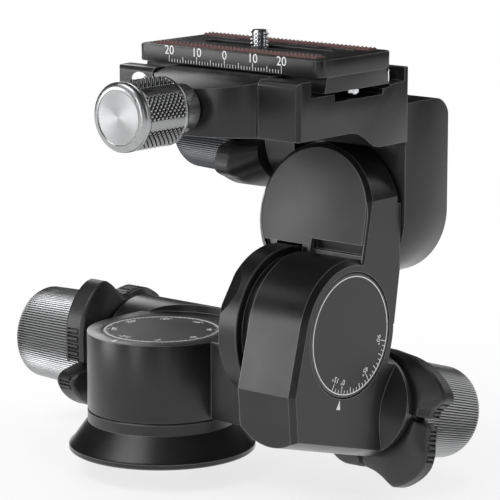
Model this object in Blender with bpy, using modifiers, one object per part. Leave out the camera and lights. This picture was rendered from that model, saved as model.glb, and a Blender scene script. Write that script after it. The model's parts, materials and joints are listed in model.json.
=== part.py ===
# Geared head for a camera tripod: pan, lower tilt and upper tilt movements, each turned by a
# worm and knob and let free by a two-winged lever, with a quick-release clamp and plate on top.
# Metres, +Z up. X runs along the camera plate, the origin is on the pan axis at the foot.
from math import acos, cos, degrees, pi, radians, sin

import bmesh
import bpy
from mathutils import Matrix, Vector

MM = 0.001
MERGE = 0.00001
FLAT = radians(0.3)

# Clearances
GAP = 0.3 * MM
RUN_GAP = 0.4 * MM
OVERRUN = 2.0 * MM

# Foot
FOOT_R = 32.7 * MM
FOOT_RIM_H = 2.1 * MM
FOOT_CONE_TOP = 10.25 * MM
FOOT_TOP = 14.2 * MM
FOOT_BUSH_R = 9.0 * MM
FOOT_SOCKET_R = 4.76 * MM
FOOT_SOCKET_DEEP = 11.0 * MM
FOOT_STEP_R = 12.0 * MM

# Pan movement
PAN_R = 26.1 * MM
PAN_H = 27.62 * MM
PAN_TOP = FOOT_TOP + PAN_H
PAN_DIAL_R = 20.8 * MM
PAN_DIAL_DEEP = 3.0 * MM
PAN_SPINDLE_R = 8.0 * MM
PAN_WORM_Y = 28.0 * MM
PAN_WORM_UP = 10.1 * MM
PAN_WORM_Z = FOOT_TOP + PAN_WORM_UP
PAN_TUBE_R = 20.2 * MM
PAN_TUBE_X = -36.6 * MM
PAN_SIDE_Y = 17.7 * MM
PAN_FRONT_Y = -3.8 * MM
PAN_RECESS_R = 29.5 * MM
CHEEK_X0 = 38.0 * MM
CHEEK_X1 = 47.4 * MM
CHEEK_R = 15.0 * MM

# Worm and wheel, the same in all three movements
WHEEL_TEETH = 40
WHEEL_W = 9.0 * MM
TOOTH_DEEP = 1.3 * MM
WORM_R = 6.9 * MM
WORM_SHAFT_R = 3.4 * MM
WORM_LEN = 15.0 * MM
WORM_BORE_R = WORM_R + 1.1 * MM

# Lower tilt
TILT_RISE = 10.0 * MM
TILT_Z = PAN_TOP + TILT_RISE
TILT_REST = radians(15)
DISC_X0 = CHEEK_X1 + GAP
DISC_X1 = 56.4 * MM
DISC_R = 26.5 * MM
SPIGOT_R = 23.4 * MM
ROLL_X0 = 60.4 * MM
ROLL_X1 = 83.29 * MM
ROLL_R = 25.0 * MM
TILT_DIAL_R = 20.8 * MM
TILT_DIAL_DEEP = 3.0 * MM
TILT_AXLE_R = 7.0 * MM
TILT_WORM_X = 73.0 * MM
TILT_WORM_DROP = 22.0 * MM
TILT_TUBE_R = 18.0 * MM
TILT_TUBE_INSET = 3.0 * MM
TILT_TUBE_CUT = ROLL_R - TILT_TUBE_INSET
TILT_TUBE_END = 32.0 * MM
FACET_DROP = 22.9 * MM

# Arm of the roll housing and its inclined front
HEAD_X = 60.5 * MM
HEAD_RISE = 35.88 * MM
HEAD_Z = TILT_Z + HEAD_RISE
ARM_R = 23.9 * MM
ARM_REAR_Y = 26.4 * MM
ARM_TOP_UP = 4.7 * MM
ARM_TOP_Z = HEAD_Z + ARM_TOP_UP
ARM_FACE_Y = 8.35 * MM
ARM_FACE_UP = 1.0 * MM
ARM_FACE_Z = HEAD_Z + ARM_FACE_UP
ARM_LEAN = radians(12)
CAP_R = 21.9 * MM
CAP_T = 1.2 * MM
HEAD_AXLE_R = 7.0 * MM

# Upper tilt block
BLOCK_X0 = 36.2 * MM
BLOCK_X1 = 84.8 * MM
BLOCK_Y0 = 27.0 * MM
BLOCK_Y1 = 51.0 * MM
BLOCK_RISE = 38.2 * MM
BLOCK_TOP = HEAD_Z + BLOCK_RISE
HEAD_WORM_Y = 39.0 * MM
HEAD_WORM_RISE = 22.0 * MM
HEAD_TUBE_R = 18.0 * MM
HEAD_TUBE_X = 28.0 * MM
HEAD_TUBE_LEN = 14.0 * MM

# Clamp
CLAMP_X0 = 8.6 * MM
CLAMP_X1 = 85.7 * MM
CLAMP_RISE = 31.6 * MM
CLAMP_H = 18.9 * MM
CLAMP_BOTTOM = HEAD_Z + CLAMP_RISE
CLAMP_TOP = CLAMP_BOTTOM + CLAMP_H
WING_Y = -30.6 * MM
WING_WALL_Y = -24.0 * MM
WALL_H = 5.3 * MM
CHANNEL_DEEP = 2.5 * MM
LEDGE_Z = CLAMP_TOP - WALL_H
CLAMP_FLOOR = LEDGE_Z - CHANNEL_DEEP
CHANNEL_Y0 = -12.0 * MM
CHANNEL_Y1 = 13.0 * MM
REAR_WALL_Y = 24.8 * MM
REAR_Y = 26.7 * MM
KEEL_DROP = 6.2 * MM
KEEL_Z = CLAMP_BOTTOM - KEEL_DROP
KEEL_Y = 11.8 * MM
KEEL_RISE_Y = -3.7 * MM
JAW_X0 = 24.6 * MM
JAW_X1 = 68.9 * MM
JAW_NOSE_Y = -41.0 * MM
JAW_SLOPE_SHARE = 0.2
KNOB_X = 46.75 * MM
KNOB_DROP = 9.9 * MM
KNOB_Z = CLAMP_TOP - KNOB_DROP
CLAMP_KNOB_R = 11.2 * MM
CLAMP_KNOB_Y0 = -50.0 * MM
CLAMP_KNOB_Y1 = -71.5 * MM
CLAMP_COLLAR_R = 8.0 * MM
CLAMP_SCREW_R = 3.5 * MM

# Camera plate
PLATE_X0 = 7.8 * MM
PLATE_X1 = 85.7 * MM
PLATE_Y0 = -19.65 * MM
PLATE_Y1 = 18.35 * MM
PLATE_LIFT = 0.5 * MM
PLATE_H = 10.85 * MM
PLATE_BAND = 5.7 * MM
PLATE_FOOT_Z = LEDGE_Z + PLATE_LIFT
PLATE_TOP = PLATE_FOOT_Z + PLATE_H
PLATE_FOOT_Y = 16.8 * MM
PLATE_NECK_Y = 15.3 * MM
PLATE_CORNER = 3.0 * MM
STRIP_H = 0.7 * MM
STRIP_SINK = 0.8 * MM
SLOT_X0 = 20.0 * MM
SLOT_X1 = 73.5 * MM
SLOT_W = 7.0 * MM
CAMERA_SCREW_X = 43.5 * MM
CAMERA_SCREW_R = 3.175 * MM
CAMERA_SCREW_UP = 5.2 * MM
CAMERA_PITCH = 1.27 * MM

# Lever outlines: angle about the worm in degrees and reach as a share of LEVER_R
LEVER_R = 22.0 * MM
LEVER_HUB_R = 13.4 * MM
LEVER_T0 = 0.6 * MM
LEVER_T1 = 14.0 * MM
SLIT_HALF = 3.2
SECTOR = 88
PAN_LEVER_SHARES = [
    (173, 1.0), (150, 1.0), (121, 1.0), (97, 1.02), (84, 1.09), (74, 1.18), (62, 1.32), (50, 1.4),
    (39, 1.4), (27, 1.32), (15, 1.23), (1, 1.2), (-7, 1.2), (-12, 1.3), (-17, 1.42), (-29, 1.36),
    (-41, 1.25), (-51, 1.15), (-65, 1.05), (-80, 1.0), (-95, 1.0), (-120, 1.0), (-150, 1.0)]
TILT_LEVER_SHARES = [
    (173, 1.0), (146, 1.0), (120, 1.0), (90, 1.0), (70, 0.98), (53, 0.98), (41, 1.05), (30, 1.14),
    (18, 1.27), (11, 1.3), (2, 1.07), (-7, 1.0), (-17, 1.08), (-25, 1.15), (-42, 1.27), (-56, 1.32),
    (-66, 1.32), (-80, 1.1), (-89, 1.02), (-95, 1.0), (-104, 1.03), (-118, 1.14), (-131, 1.18),
    (-145, 1.12), (-160, 1.02)]
HEAD_LEVER_SHARES = [
    (173, 1.0), (150, 1.0), (121, 1.0), (97, 1.02), (84, 1.04), (62, 1.08), (39, 1.08),
    (15, 1.06), (1, 1.0), (-7, 1.07), (-13, 1.2), (-23, 1.32), (-35, 1.18),
    (-48, 1.07), (-60, 0.98), (-75, 0.93), (-95, 0.93), (-120, 0.98), (-150, 1.0)]

# Knobs on the worms
KNOB_T0 = 14.6 * MM
PAN_KNOB_T1 = 48.0 * MM
TILT_KNOB_T1 = 44.0 * MM
HEAD_KNOB_T1 = 44.5 * MM
KNOB_TAPER = 1.0 * MM
KNOB_EDGE = 2.4 * MM
PAN_KNOB_R = 18.1 * MM
TILT_KNOB_R = 17.1 * MM
HEAD_KNOB_R = 17.6 * MM

# Edges and small steps
GRIP_EDGE = 0.8 * MM
KNOB_LIP = 1.0 * MM
KNOB_FLOOR = 4.0 * MM
STEM_TAIL = 4.0 * MM
BUSH_LEN = 5.0 * MM
SPINDLE_STEP_Z = 17.0 * MM
DIAL_EDGE = 0.4 * MM
DISC_CHAMFER = 1.2 * MM
CHEEK_REAR_Y = 24.0 * MM
CHEEK_DROP = 11.82 * MM
CHEEK_FOOT_Z = PAN_TOP - CHEEK_DROP
EXTENSION_REAR_Y = 20.0 * MM
PAN_FLOOR = FOOT_TOP + GAP
WHEEL_ROOM_TOP = PAN_WORM_Z + WHEEL_W / 2 + RUN_GAP
WORM_ROOM = WORM_LEN / 2 + STEM_TAIL + GAP + GAP

FACET_FOOT = 18.8 * MM
TUBE_OVERLAP = 3.6 * MM
ARM_LOW_Y = 3.0 * MM
ARM_REAR_LOW_Y = 23.6 * MM
ARM_WAIST_UP = 17.78 * MM
ARM_WAIST_Z = TILT_Z + ARM_WAIST_UP
ARM_CHAMFER = 1.7 * MM
ARM_SETBACK = 3.8 * MM
SCALLOP_R = 25.6 * MM
AXLE_SEAT_Y = 16.0 * MM
BLOCK_R = (BLOCK_X1 - BLOCK_X0) / 2
BLOCK_ROUND = 8.0 * MM
BLOCK_ROOM_DEEP = 17.5 * MM
KEEL_MID_Y = 6.6 * MM
KEEL_MID_RISE = 0.9 * MM
KEEL_MID_Z = KEEL_Z + KEEL_MID_RISE
WING_ROUND = 1.6 * MM
JAW_BACK_Y = -22.0 * MM
JAW_TRAVEL_IN = 0.4 * MM
LIP_LONGER = 10.0 * MM
SCREW_HOLE_Y = -9.0 * MM
EYELET_R = 2.4 * MM
EYELET_IN = 5.0 * MM
EYELET_DROP = 4.2 * MM
EYELET_Z = CLAMP_TOP - EYELET_DROP
PIN_R = 1.6 * MM
PIN_X = 80.5 * MM
PIN_Y = 21.2 * MM
PIN_SUNK = 0.8 * MM
PIN_LEN = 6.4 * MM
PIN_PRESS = 2.5 * MM
PIN_Z1 = CLAMP_TOP - PIN_SUNK
PIN_Z0 = PIN_Z1 - PIN_LEN
KNOB_RIM = 2.4 * MM
SCREW_DEPTH = 0.5 * MM
CLAMP_PITCH = 1.0 * MM
SCREW_THREAD_Y0 = -10.0 * MM
SCREW_THREAD_Y1 = -18.0 * MM
FOOT_IN = 0.4 * MM
PLATE_EDGE = 0.5 * MM
SLOT_Y = 1.0 * MM
SLOT_DEEP = 3.0 * MM
SLOT_LIP = 1.6 * MM
STRIPS = {
    "strip_front": (12.0 * MM, 81.0 * MM, -16.0 * MM, -11.5 * MM),
    "strip_rear": (8.8 * MM, 80.0 * MM, 12.8 * MM, 16.9 * MM),
}

BODY_STEPS = 56
SMALL_STEPS = 20
TURNED_STEPS = 36
THREAD_STEPS = 10
ARC_POINTS = 20


def clear_scene():
    for obj in list(bpy.data.objects):
        bpy.data.objects.remove(obj, do_unlink=True)


def make_collection(name):
    group = bpy.data.collections.new(name)
    bpy.context.scene.collection.children.link(group)
    return group


clear_scene()
PARTS = make_collection("geared_tripod_head")


def material(name, color, roughness, metallic):
    made = bpy.data.materials.new(name)
    made.use_nodes = True
    shader = made.node_tree.nodes["Principled BSDF"]
    shader.inputs["Base Color"].default_value = (*color, 1)
    shader.inputs["Roughness"].default_value = roughness
    shader.inputs["Metallic"].default_value = metallic
    made.diffuse_color = (*color, 1)
    return made


def frame_at(origin, along, side):
    # A frame whose local Z runs along a direction and whose local X runs to one side.
    z_axis = Vector(along).normalized()
    x_axis = Vector(side).normalized()
    y_axis = z_axis.cross(x_axis)
    turned = Matrix((x_axis, y_axis, z_axis)).transposed().to_4x4()
    return Matrix.Translation(Vector(origin)) @ turned


def link(name, mesh):
    obj = bpy.data.objects.new(name, mesh)
    PARTS.objects.link(obj)
    return obj


def applied(obj):
    # Turns an object and its modifiers into plain geometry with clean normals.
    bpy.context.view_layer.update()
    graph = bpy.context.evaluated_depsgraph_get()
    mesh = bpy.data.meshes.new_from_object(obj.evaluated_get(graph))
    bm = bmesh.new()
    bm.from_mesh(mesh)
    bmesh.ops.remove_doubles(bm, verts=bm.verts, dist=MERGE)
    bmesh.ops.recalc_face_normals(bm, faces=bm.faces)
    bm.to_mesh(mesh)
    bm.free()
    name = obj.name
    place = obj.matrix_world.copy()
    bpy.data.objects.remove(obj, do_unlink=True)
    made = link(name, mesh)
    made.matrix_world = place
    return made


def turned(name, profile, frame, steps=BODY_STEPS, closed=True):
    # A turned shape: a profile of (radius, along) points swept round the frame's Z axis.
    mesh = bpy.data.meshes.new(name)
    points = [(radius, 0, along) for radius, along in profile]
    edges = [(i, i + 1) for i in range(len(points) - 1)]
    if closed:
        edges.append((len(points) - 1, 0))
    mesh.from_pydata(points, edges, [])
    obj = link(name, mesh)
    screw = obj.modifiers.new("turn", "SCREW")
    screw.axis = "Z"
    screw.angle = 2 * pi
    screw.steps = steps
    screw.render_steps = steps
    screw.use_merge_vertices = True
    screw.merge_threshold = MERGE
    obj.matrix_world = frame
    return applied(obj)


def slab(name, outlines, low, high, frame):
    # A flat outline with any holes, as thick as from low to high along the frame's Z axis.
    curve = bpy.data.curves.new(name, "CURVE")
    curve.dimensions = "2D"
    curve.fill_mode = "BOTH"
    curve.extrude = (high - low) / 2
    for outline in outlines:
        spline = curve.splines.new("POLY")
        spline.points.add(len(outline) - 1)
        for point, (across, up) in zip(spline.points, outline):
            point.co = (across, up, 0, 1)
        spline.use_cyclic_u = True
    obj = link(name, curve)
    obj.matrix_world = frame @ Matrix.Translation((0, 0, (low + high) / 2))
    return applied(obj)


def box(name, low, high):
    mesh = bpy.data.meshes.new(name)
    bm = bmesh.new()
    bmesh.ops.create_cube(bm, size=1)
    size = [b - a for a, b in zip(low, high)]
    bmesh.ops.scale(bm, vec=size, verts=bm.verts)
    bm.to_mesh(mesh)
    bm.free()
    obj = link(name, mesh)
    obj.location = [(a + b) / 2 for a, b in zip(low, high)]
    bpy.context.view_layer.update()
    return obj


def rod(name, radius, low, high, frame, steps=BODY_STEPS):
    mesh = bpy.data.meshes.new(name)
    bm = bmesh.new()
    bmesh.ops.create_cone(
        bm, cap_ends=True, segments=steps, radius1=radius, radius2=radius, depth=high - low)
    bm.to_mesh(mesh)
    bm.free()
    obj = link(name, mesh)
    obj.matrix_world = frame @ Matrix.Translation((0, 0, (low + high) / 2))
    return obj


def combined(obj, tools, operation, touching=False):
    for tool in tools:
        bpy.context.view_layer.update()
        change = obj.modifiers.new(operation.lower(), "BOOLEAN")
        change.operation = operation
        change.solver = "EXACT"
        change.use_self = touching
        change.object = tool
        obj = applied(obj)
        bpy.data.objects.remove(tool, do_unlink=True)
    return obj


def cut(obj, *tools):
    return combined(obj, tools, "DIFFERENCE")


def join(obj, *tools):
    return combined(obj, tools, "UNION")


def common(obj, *tools):
    return combined(obj, tools, "INTERSECT")


def bevelled(obj, width, angle=radians(40), segments=1):
    # Flat areas become single faces first, so that an edge can be as wide as it is asked to be.
    bm = bmesh.new()
    bm.from_mesh(obj.data)
    bmesh.ops.dissolve_limit(bm, angle_limit=FLAT, verts=bm.verts, edges=bm.edges)
    bm.to_mesh(obj.data)
    bm.free()
    bevel = obj.modifiers.new("bevel", "BEVEL")
    bevel.width = width
    bevel.segments = segments
    bevel.limit_method = "ANGLE"
    bevel.angle_limit = angle
    return applied(obj)


def empty(name, point, parent=None):
    pivot = bpy.data.objects.new(name, None)
    PARTS.objects.link(pivot)
    pivot.empty_display_size = GAP
    pivot.location = point
    bpy.context.view_layer.update()
    if parent:
        hold(pivot, parent)
    return pivot


def hold(obj, parent):
    bpy.context.view_layer.update()
    obj.parent = parent
    obj.matrix_parent_inverse = parent.matrix_world.inverted()


def finish(obj, parent, made):
    obj.data.materials.clear()
    obj.data.materials.append(made)
    for face in obj.data.polygons:
        face.material_index = 0
    hold(obj, parent)
    return obj


def arc(centre, radius, start, end, count=ARC_POINTS):
    # Points from one angle to another, in degrees, ends included.
    turns = [radians(start + (end - start) * i / count) for i in range(count + 1)]
    return [(centre[0] + radius * cos(a), centre[1] + radius * sin(a)) for a in turns]


def circle(radius, count=BODY_STEPS):
    return arc((0, 0), radius, 0, 360 - 360 / count, count - 1)


BLACK = (0.018, 0.018, 0.02)
GREY = (0.12, 0.125, 0.13)
SILVER = (0.62, 0.63, 0.64)

WORLD = Matrix.Identity(4)
UP_TILT = (0, sin(TILT_REST), cos(TILT_REST))
OUT_TILT = (0, cos(TILT_REST), -sin(TILT_REST))
TILT_CENTRE = Vector((0, 0, TILT_Z))
# Local Z along +X, local X along the housing's out direction, local Y along its up direction.
ROLL_FRAME = frame_at(TILT_CENTRE, (1, 0, 0), OUT_TILT)
X_FRAME = frame_at(TILT_CENTRE, (1, 0, 0), (0, 1, 0))
HEAD_CENTRE = Vector((HEAD_X, 0, HEAD_Z))
# Local Z along +Y, local X along +X and local Y along -Z.
HEAD_FRAME = frame_at(HEAD_CENTRE, (0, 1, 0), (1, 0, 0))
PAN_WORM = Vector((0, PAN_WORM_Y, PAN_WORM_Z))
PAN_WORM_FRAME = frame_at(PAN_WORM, (-1, 0, 0), (0, -1, 0))
TILT_WORM = TILT_CENTRE + Vector((TILT_WORM_X, 0, 0)) - TILT_WORM_DROP * Vector(UP_TILT)
TILT_WORM_FRAME = frame_at(TILT_WORM, OUT_TILT, (1, 0, 0))
HEAD_WORM = Vector((HEAD_X, HEAD_WORM_Y, HEAD_Z + HEAD_WORM_RISE))
HEAD_WORM_FRAME = frame_at(HEAD_WORM, (-1, 0, 0), (0, -1, 0))
YZ_FRAME = frame_at((0, 0, 0), (1, 0, 0), (0, 1, 0))


def wheel(name, centre_drop, width, frame, bore, parent, made):
    # A toothed wheel whose tips stay a running gap clear of the worm.
    tip = centre_drop - WORM_R - RUN_GAP
    root = tip - TOOTH_DEEP
    outline = []
    for tooth in range(WHEEL_TEETH):
        for share, radius in ((0.0, root), (0.3, root), (0.45, tip), (0.85, tip)):
            angle = 2 * pi * (tooth + share) / WHEEL_TEETH
            outline.append((radius * cos(angle), radius * sin(angle)))
    hole = circle(bore, SMALL_STEPS)
    obj = slab(name, [outline, hole], -width / 2, width / 2, frame)
    return finish(obj, parent, made)


def threaded(name, radius, depth, pitch, low, high, frame):
    # A screw thread swept from one pitch of its profile, cut square at both ends.
    turns = int((high - low) / pitch) + 3
    mesh = bpy.data.meshes.new(name)
    root = radius - depth
    start = low - pitch
    profile = [
        (root, start), (radius, start + 0.35 * pitch), (radius, start + 0.6 * pitch),
        (root, start + 0.95 * pitch), (root, start + pitch)]
    points = [(across, 0, along) for across, along in profile]
    mesh.from_pydata(points, [(i, i + 1) for i in range(len(points) - 1)], [])
    obj = link(name, mesh)
    screw = obj.modifiers.new("thread", "SCREW")
    screw.axis = "Z"
    screw.angle = 2 * pi
    screw.screw_offset = pitch
    screw.iterations = turns
    screw.steps = THREAD_STEPS
    screw.render_steps = THREAD_STEPS
    screw.use_merge_vertices = True
    screw.merge_threshold = MERGE
    obj = applied(obj)
    bm = bmesh.new()
    bm.from_mesh(obj.data)
    bmesh.ops.remove_doubles(bm, verts=bm.verts, dist=MERGE)
    bmesh.ops.holes_fill(bm, edges=bm.edges, sides=0)
    bmesh.ops.recalc_face_normals(bm, faces=bm.faces)
    bm.to_mesh(obj.data)
    bm.free()
    obj.matrix_world = frame
    blank = rod(name + "_blank", radius + OVERRUN, low, high, frame, SMALL_STEPS)
    return common(obj, blank)


def reach(shares, angle):
    # The lever's radius at an angle, along straight runs between the outline's points.
    points = [(shares[-1][0] + 360, shares[-1][1])] + shares + [(shares[0][0] - 360, shares[0][1])]
    for (high, first), (low, second) in zip(points, points[1:]):
        if low <= angle <= high:
            return LEVER_R * (second + (first - second) * (angle - low) / (high - low))
    return LEVER_R


def sector_outline(shares, start, end, sense, inner):
    # Closed outline from the inner radius out to the lever's edge, between two angles.
    marks = sorted({start, end} | {a + k for a, _ in shares for k in (-360, 0, 360)
                                   if start < a + k < end})
    outer = []
    for angle in marks:
        wrapped = angle if angle <= 180 else angle - 360
        wrapped = wrapped if wrapped > shares[-1][0] - 1 else wrapped
        radius = reach(shares, wrapped)
        outer.append((radius * cos(radians(angle)), sense * radius * sin(radians(angle))))
    count = max(4, int((end - start) / 12))
    inner_run = [(x, sense * y) for x, y in arc((0, 0), inner, end, start, count)]
    return outer + inner_run


def drive(name, frame, tube_end, knob_r, knob_end, shares, slit, sense, bodies, looks):
    # The fixed wing, the release lever, the worm and the knob of one movement.
    # Local Z runs along the worm towards the knob, and tube_end is where its tube stops.
    carrier, spin, release = bodies
    at_end = frame @ Matrix.Translation((0, 0, tube_end))
    wing = slab(
        name + "_grip",
        [sector_outline(shares, slit + SLIT_HALF, slit - SECTOR + 360 - SLIT_HALF, sense,
                        LEVER_HUB_R + GAP + GAP)],
        LEVER_T0, LEVER_T1, at_end)
    finish(bevelled(wing, GRIP_EDGE), carrier, looks["plastic"])
    lever = slab(
        name + "_release",
        [sector_outline(shares, slit - SECTOR + SLIT_HALF, slit - SLIT_HALF, sense,
                        LEVER_HUB_R - OVERRUN)],
        LEVER_T0, LEVER_T1, at_end)
    hub = turned(
        name + "_hub",
        [(WORM_SHAFT_R + RUN_GAP, LEVER_T0), (LEVER_HUB_R, LEVER_T0),
         (LEVER_HUB_R, LEVER_T1), (WORM_SHAFT_R + RUN_GAP, LEVER_T1)],
        at_end, TURNED_STEPS)
    finish(bevelled(join(lever, hub), GRIP_EDGE), release, looks["plastic"])
    knob = turned(
        name + "_knob",
        [(WORM_SHAFT_R + GAP, KNOB_T0), (knob_r - KNOB_LIP, KNOB_T0),
         (knob_r, KNOB_T0 + KNOB_LIP), (knob_r - KNOB_TAPER, knob_end - KNOB_EDGE),
         (knob_r - KNOB_TAPER - KNOB_LIP, knob_end - KNOB_LIP),
         (knob_r - KNOB_TAPER - KNOB_EDGE, knob_end), (0, knob_end),
         (0, knob_end - KNOB_FLOOR), (WORM_SHAFT_R + GAP, knob_end - KNOB_FLOOR)],
        at_end, TURNED_STEPS, closed=True)
    finish(knob, spin, looks["knob"])
    pitch = 2 * pi * (TILT_WORM_DROP - WORM_R - RUN_GAP) / WHEEL_TEETH
    screw = threaded(
        name + "_worm", WORM_R, TOOTH_DEEP, pitch, -WORM_LEN / 2, WORM_LEN / 2, frame)
    stem = rod(
        name + "_stem", WORM_SHAFT_R, -WORM_LEN / 2 - STEM_TAIL,
        tube_end + knob_end - KNOB_FLOOR - GAP, frame, SMALL_STEPS)
    finish(join(screw, stem), spin, looks["steel"])
    bush_low = tube_end - BUSH_LEN - GAP
    bush = turned(
        name + "_bush",
        [(WORM_SHAFT_R + RUN_GAP, bush_low), (WORM_BORE_R - GAP, bush_low),
         (WORM_BORE_R - GAP, bush_low + BUSH_LEN), (WORM_SHAFT_R + RUN_GAP, bush_low + BUSH_LEN)],
        frame, SMALL_STEPS)
    finish(bush, carrier, looks["bronze"])


def build_base(looks):
    root = empty("base_body", (0, 0, 0))
    foot = turned(
        "base_flange",
        [(FOOT_BUSH_R + GAP, 0), (FOOT_R, 0), (FOOT_R, FOOT_RIM_H), (PAN_R, FOOT_CONE_TOP),
         (PAN_R, FOOT_TOP), (FOOT_BUSH_R + GAP, FOOT_TOP)],
        WORLD)
    finish(foot, root, looks["black"])
    bush = turned(
        "tripod_thread_bush",
        [(FOOT_SOCKET_R, 0), (FOOT_BUSH_R, 0), (FOOT_BUSH_R, FOOT_TOP - GAP),
         (0, FOOT_TOP - GAP), (0, FOOT_SOCKET_DEEP), (FOOT_SOCKET_R, FOOT_SOCKET_DEEP)],
        WORLD, TURNED_STEPS)
    finish(bush, root, looks["steel"])
    spindle = turned(
        "pan_spindle",
        [(0, FOOT_TOP), (FOOT_STEP_R, FOOT_TOP), (FOOT_STEP_R, SPINDLE_STEP_Z),
         (PAN_SPINDLE_R, SPINDLE_STEP_Z), (PAN_SPINDLE_R, PAN_TOP - PAN_DIAL_DEEP - GAP),
         (0, PAN_TOP - PAN_DIAL_DEEP - GAP)],
        Matrix.Translation((0, 0, GAP)), TURNED_STEPS)
    finish(spindle, root, looks["steel"])
    wheel("pan_worm_wheel", PAN_WORM_Y, WHEEL_W, Matrix.Translation((0, 0, PAN_WORM_Z)),
          PAN_SPINDLE_R + GAP, root, looks["bronze"])
    dial = turned(
        "pan_dial",
        [(0, PAN_TOP - PAN_DIAL_DEEP + GAP), (PAN_DIAL_R, PAN_TOP - PAN_DIAL_DEEP + GAP),
         (PAN_DIAL_R, PAN_TOP - DIAL_EDGE), (PAN_DIAL_R - DIAL_EDGE, PAN_TOP), (0, PAN_TOP)],
        WORLD)
    finish(dial, root, looks["black"])
    return root


def build_pan(looks, root):
    pivot = empty("pan_body", (0, 0, PAN_FLOOR), root)
    front = arc((0, 0), PAN_R, 180, 360 - 8, BODY_STEPS // 2)
    outline = front + [
        (CHEEK_X1, PAN_FRONT_Y), (CHEEK_X1, EXTENSION_REAR_Y), (PAN_TUBE_X / 2, EXTENSION_REAR_Y),
        (-PAN_R, PAN_SIDE_Y)]
    body = slab("pan_housing", [outline], PAN_FLOOR, PAN_TOP, WORLD)
    tube = rod("tube", PAN_TUBE_R, -CHEEK_X1, -PAN_TUBE_X, PAN_WORM_FRAME)
    cheek_end = degrees(acos(PAN_FRONT_Y / CHEEK_R))
    cheek = slab(
        "cheek",
        [[(PAN_FRONT_Y, CHEEK_FOOT_Z), (CHEEK_REAR_Y, CHEEK_FOOT_Z), (CHEEK_REAR_Y, TILT_Z)]
         + arc((0, TILT_Z), CHEEK_R, 0, cheek_end)],
        CHEEK_X0, CHEEK_X1, YZ_FRAME)
    body = join(body, tube, cheek)
    over = PAN_TOP + PAN_TUBE_R + TILT_Z
    recess = rod("recess", PAN_RECESS_R, PAN_TOP, over, WORLD)
    floor = box(
        "floor", (-over, -over, PAN_FLOOR - over), (over, over, PAN_FLOOR))
    dial_seat = rod(
        "dial_seat", PAN_DIAL_R + GAP, PAN_TOP - PAN_DIAL_DEEP - GAP, PAN_TOP + OVERRUN, WORLD)
    room = rod("room", PAN_WORM_Y - WORM_R, PAN_FLOOR - OVERRUN, WHEEL_ROOM_TOP, WORLD)
    bore = rod("bore", PAN_SPINDLE_R + RUN_GAP, PAN_FLOOR, PAN_TOP, WORLD, TURNED_STEPS)
    worm_room = rod(
        "worm_room", WORM_BORE_R, -WORM_ROOM, -PAN_TUBE_X + OVERRUN, PAN_WORM_FRAME,
        TURNED_STEPS)
    body = cut(body, recess, floor, room, bore, dial_seat, worm_room)
    finish(body, pivot, looks["black"])
    disc = turned(
        "tilt_carrier_disc",
        [(TILT_AXLE_R + GAP, DISC_X0), (DISC_R - DISC_CHAMFER, DISC_X0),
         (DISC_R, DISC_X0 + DISC_CHAMFER), (DISC_R, DISC_X1 - DISC_CHAMFER),
         (DISC_R - DISC_CHAMFER, DISC_X1), (SPIGOT_R, DISC_X1), (SPIGOT_R, ROLL_X0 - GAP),
         (TILT_AXLE_R + GAP, ROLL_X0 - GAP)],
        X_FRAME)
    finish(disc, pivot, looks["black"])
    axle = rod("tilt_axle", TILT_AXLE_R, DISC_X0, ROLL_X1 - TILT_DIAL_DEEP - GAP, X_FRAME,
               TURNED_STEPS)
    finish(axle, pivot, looks["steel"])
    wheel("tilt_worm_wheel", TILT_WORM_DROP, WHEEL_W,
          X_FRAME @ Matrix.Translation((0, 0, TILT_WORM_X)), TILT_AXLE_R + GAP, pivot,
          looks["bronze"])
    dial = turned(
        "tilt_dial",
        [(0, ROLL_X1 - TILT_DIAL_DEEP), (TILT_DIAL_R, ROLL_X1 - TILT_DIAL_DEEP),
         (TILT_DIAL_R, ROLL_X1 - DIAL_EDGE), (TILT_DIAL_R - DIAL_EDGE, ROLL_X1), (0, ROLL_X1)],
        X_FRAME)
    finish(dial, pivot, looks["black"])
    return pivot



def right_cutter():
    over = ROLL_X1 + ROLL_X1
    return box("right", (ROLL_X1, -over, -over), (over, over, over))


def front_cutter(lean, setback):
    # Everything in front of the inclined face, set back from it by a step.
    over = ROLL_X1 + ROLL_X1
    return slab("front", [[(-over, -over), (over, -over), (over, over), (-over, over)]],
                -setback, over, lean)


def arm_outline(radius):
    # Round at the top and left, straight down at the right.
    return arc((0, 0), radius, 0, 270, BODY_STEPS) + [(radius, -radius)]


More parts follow.
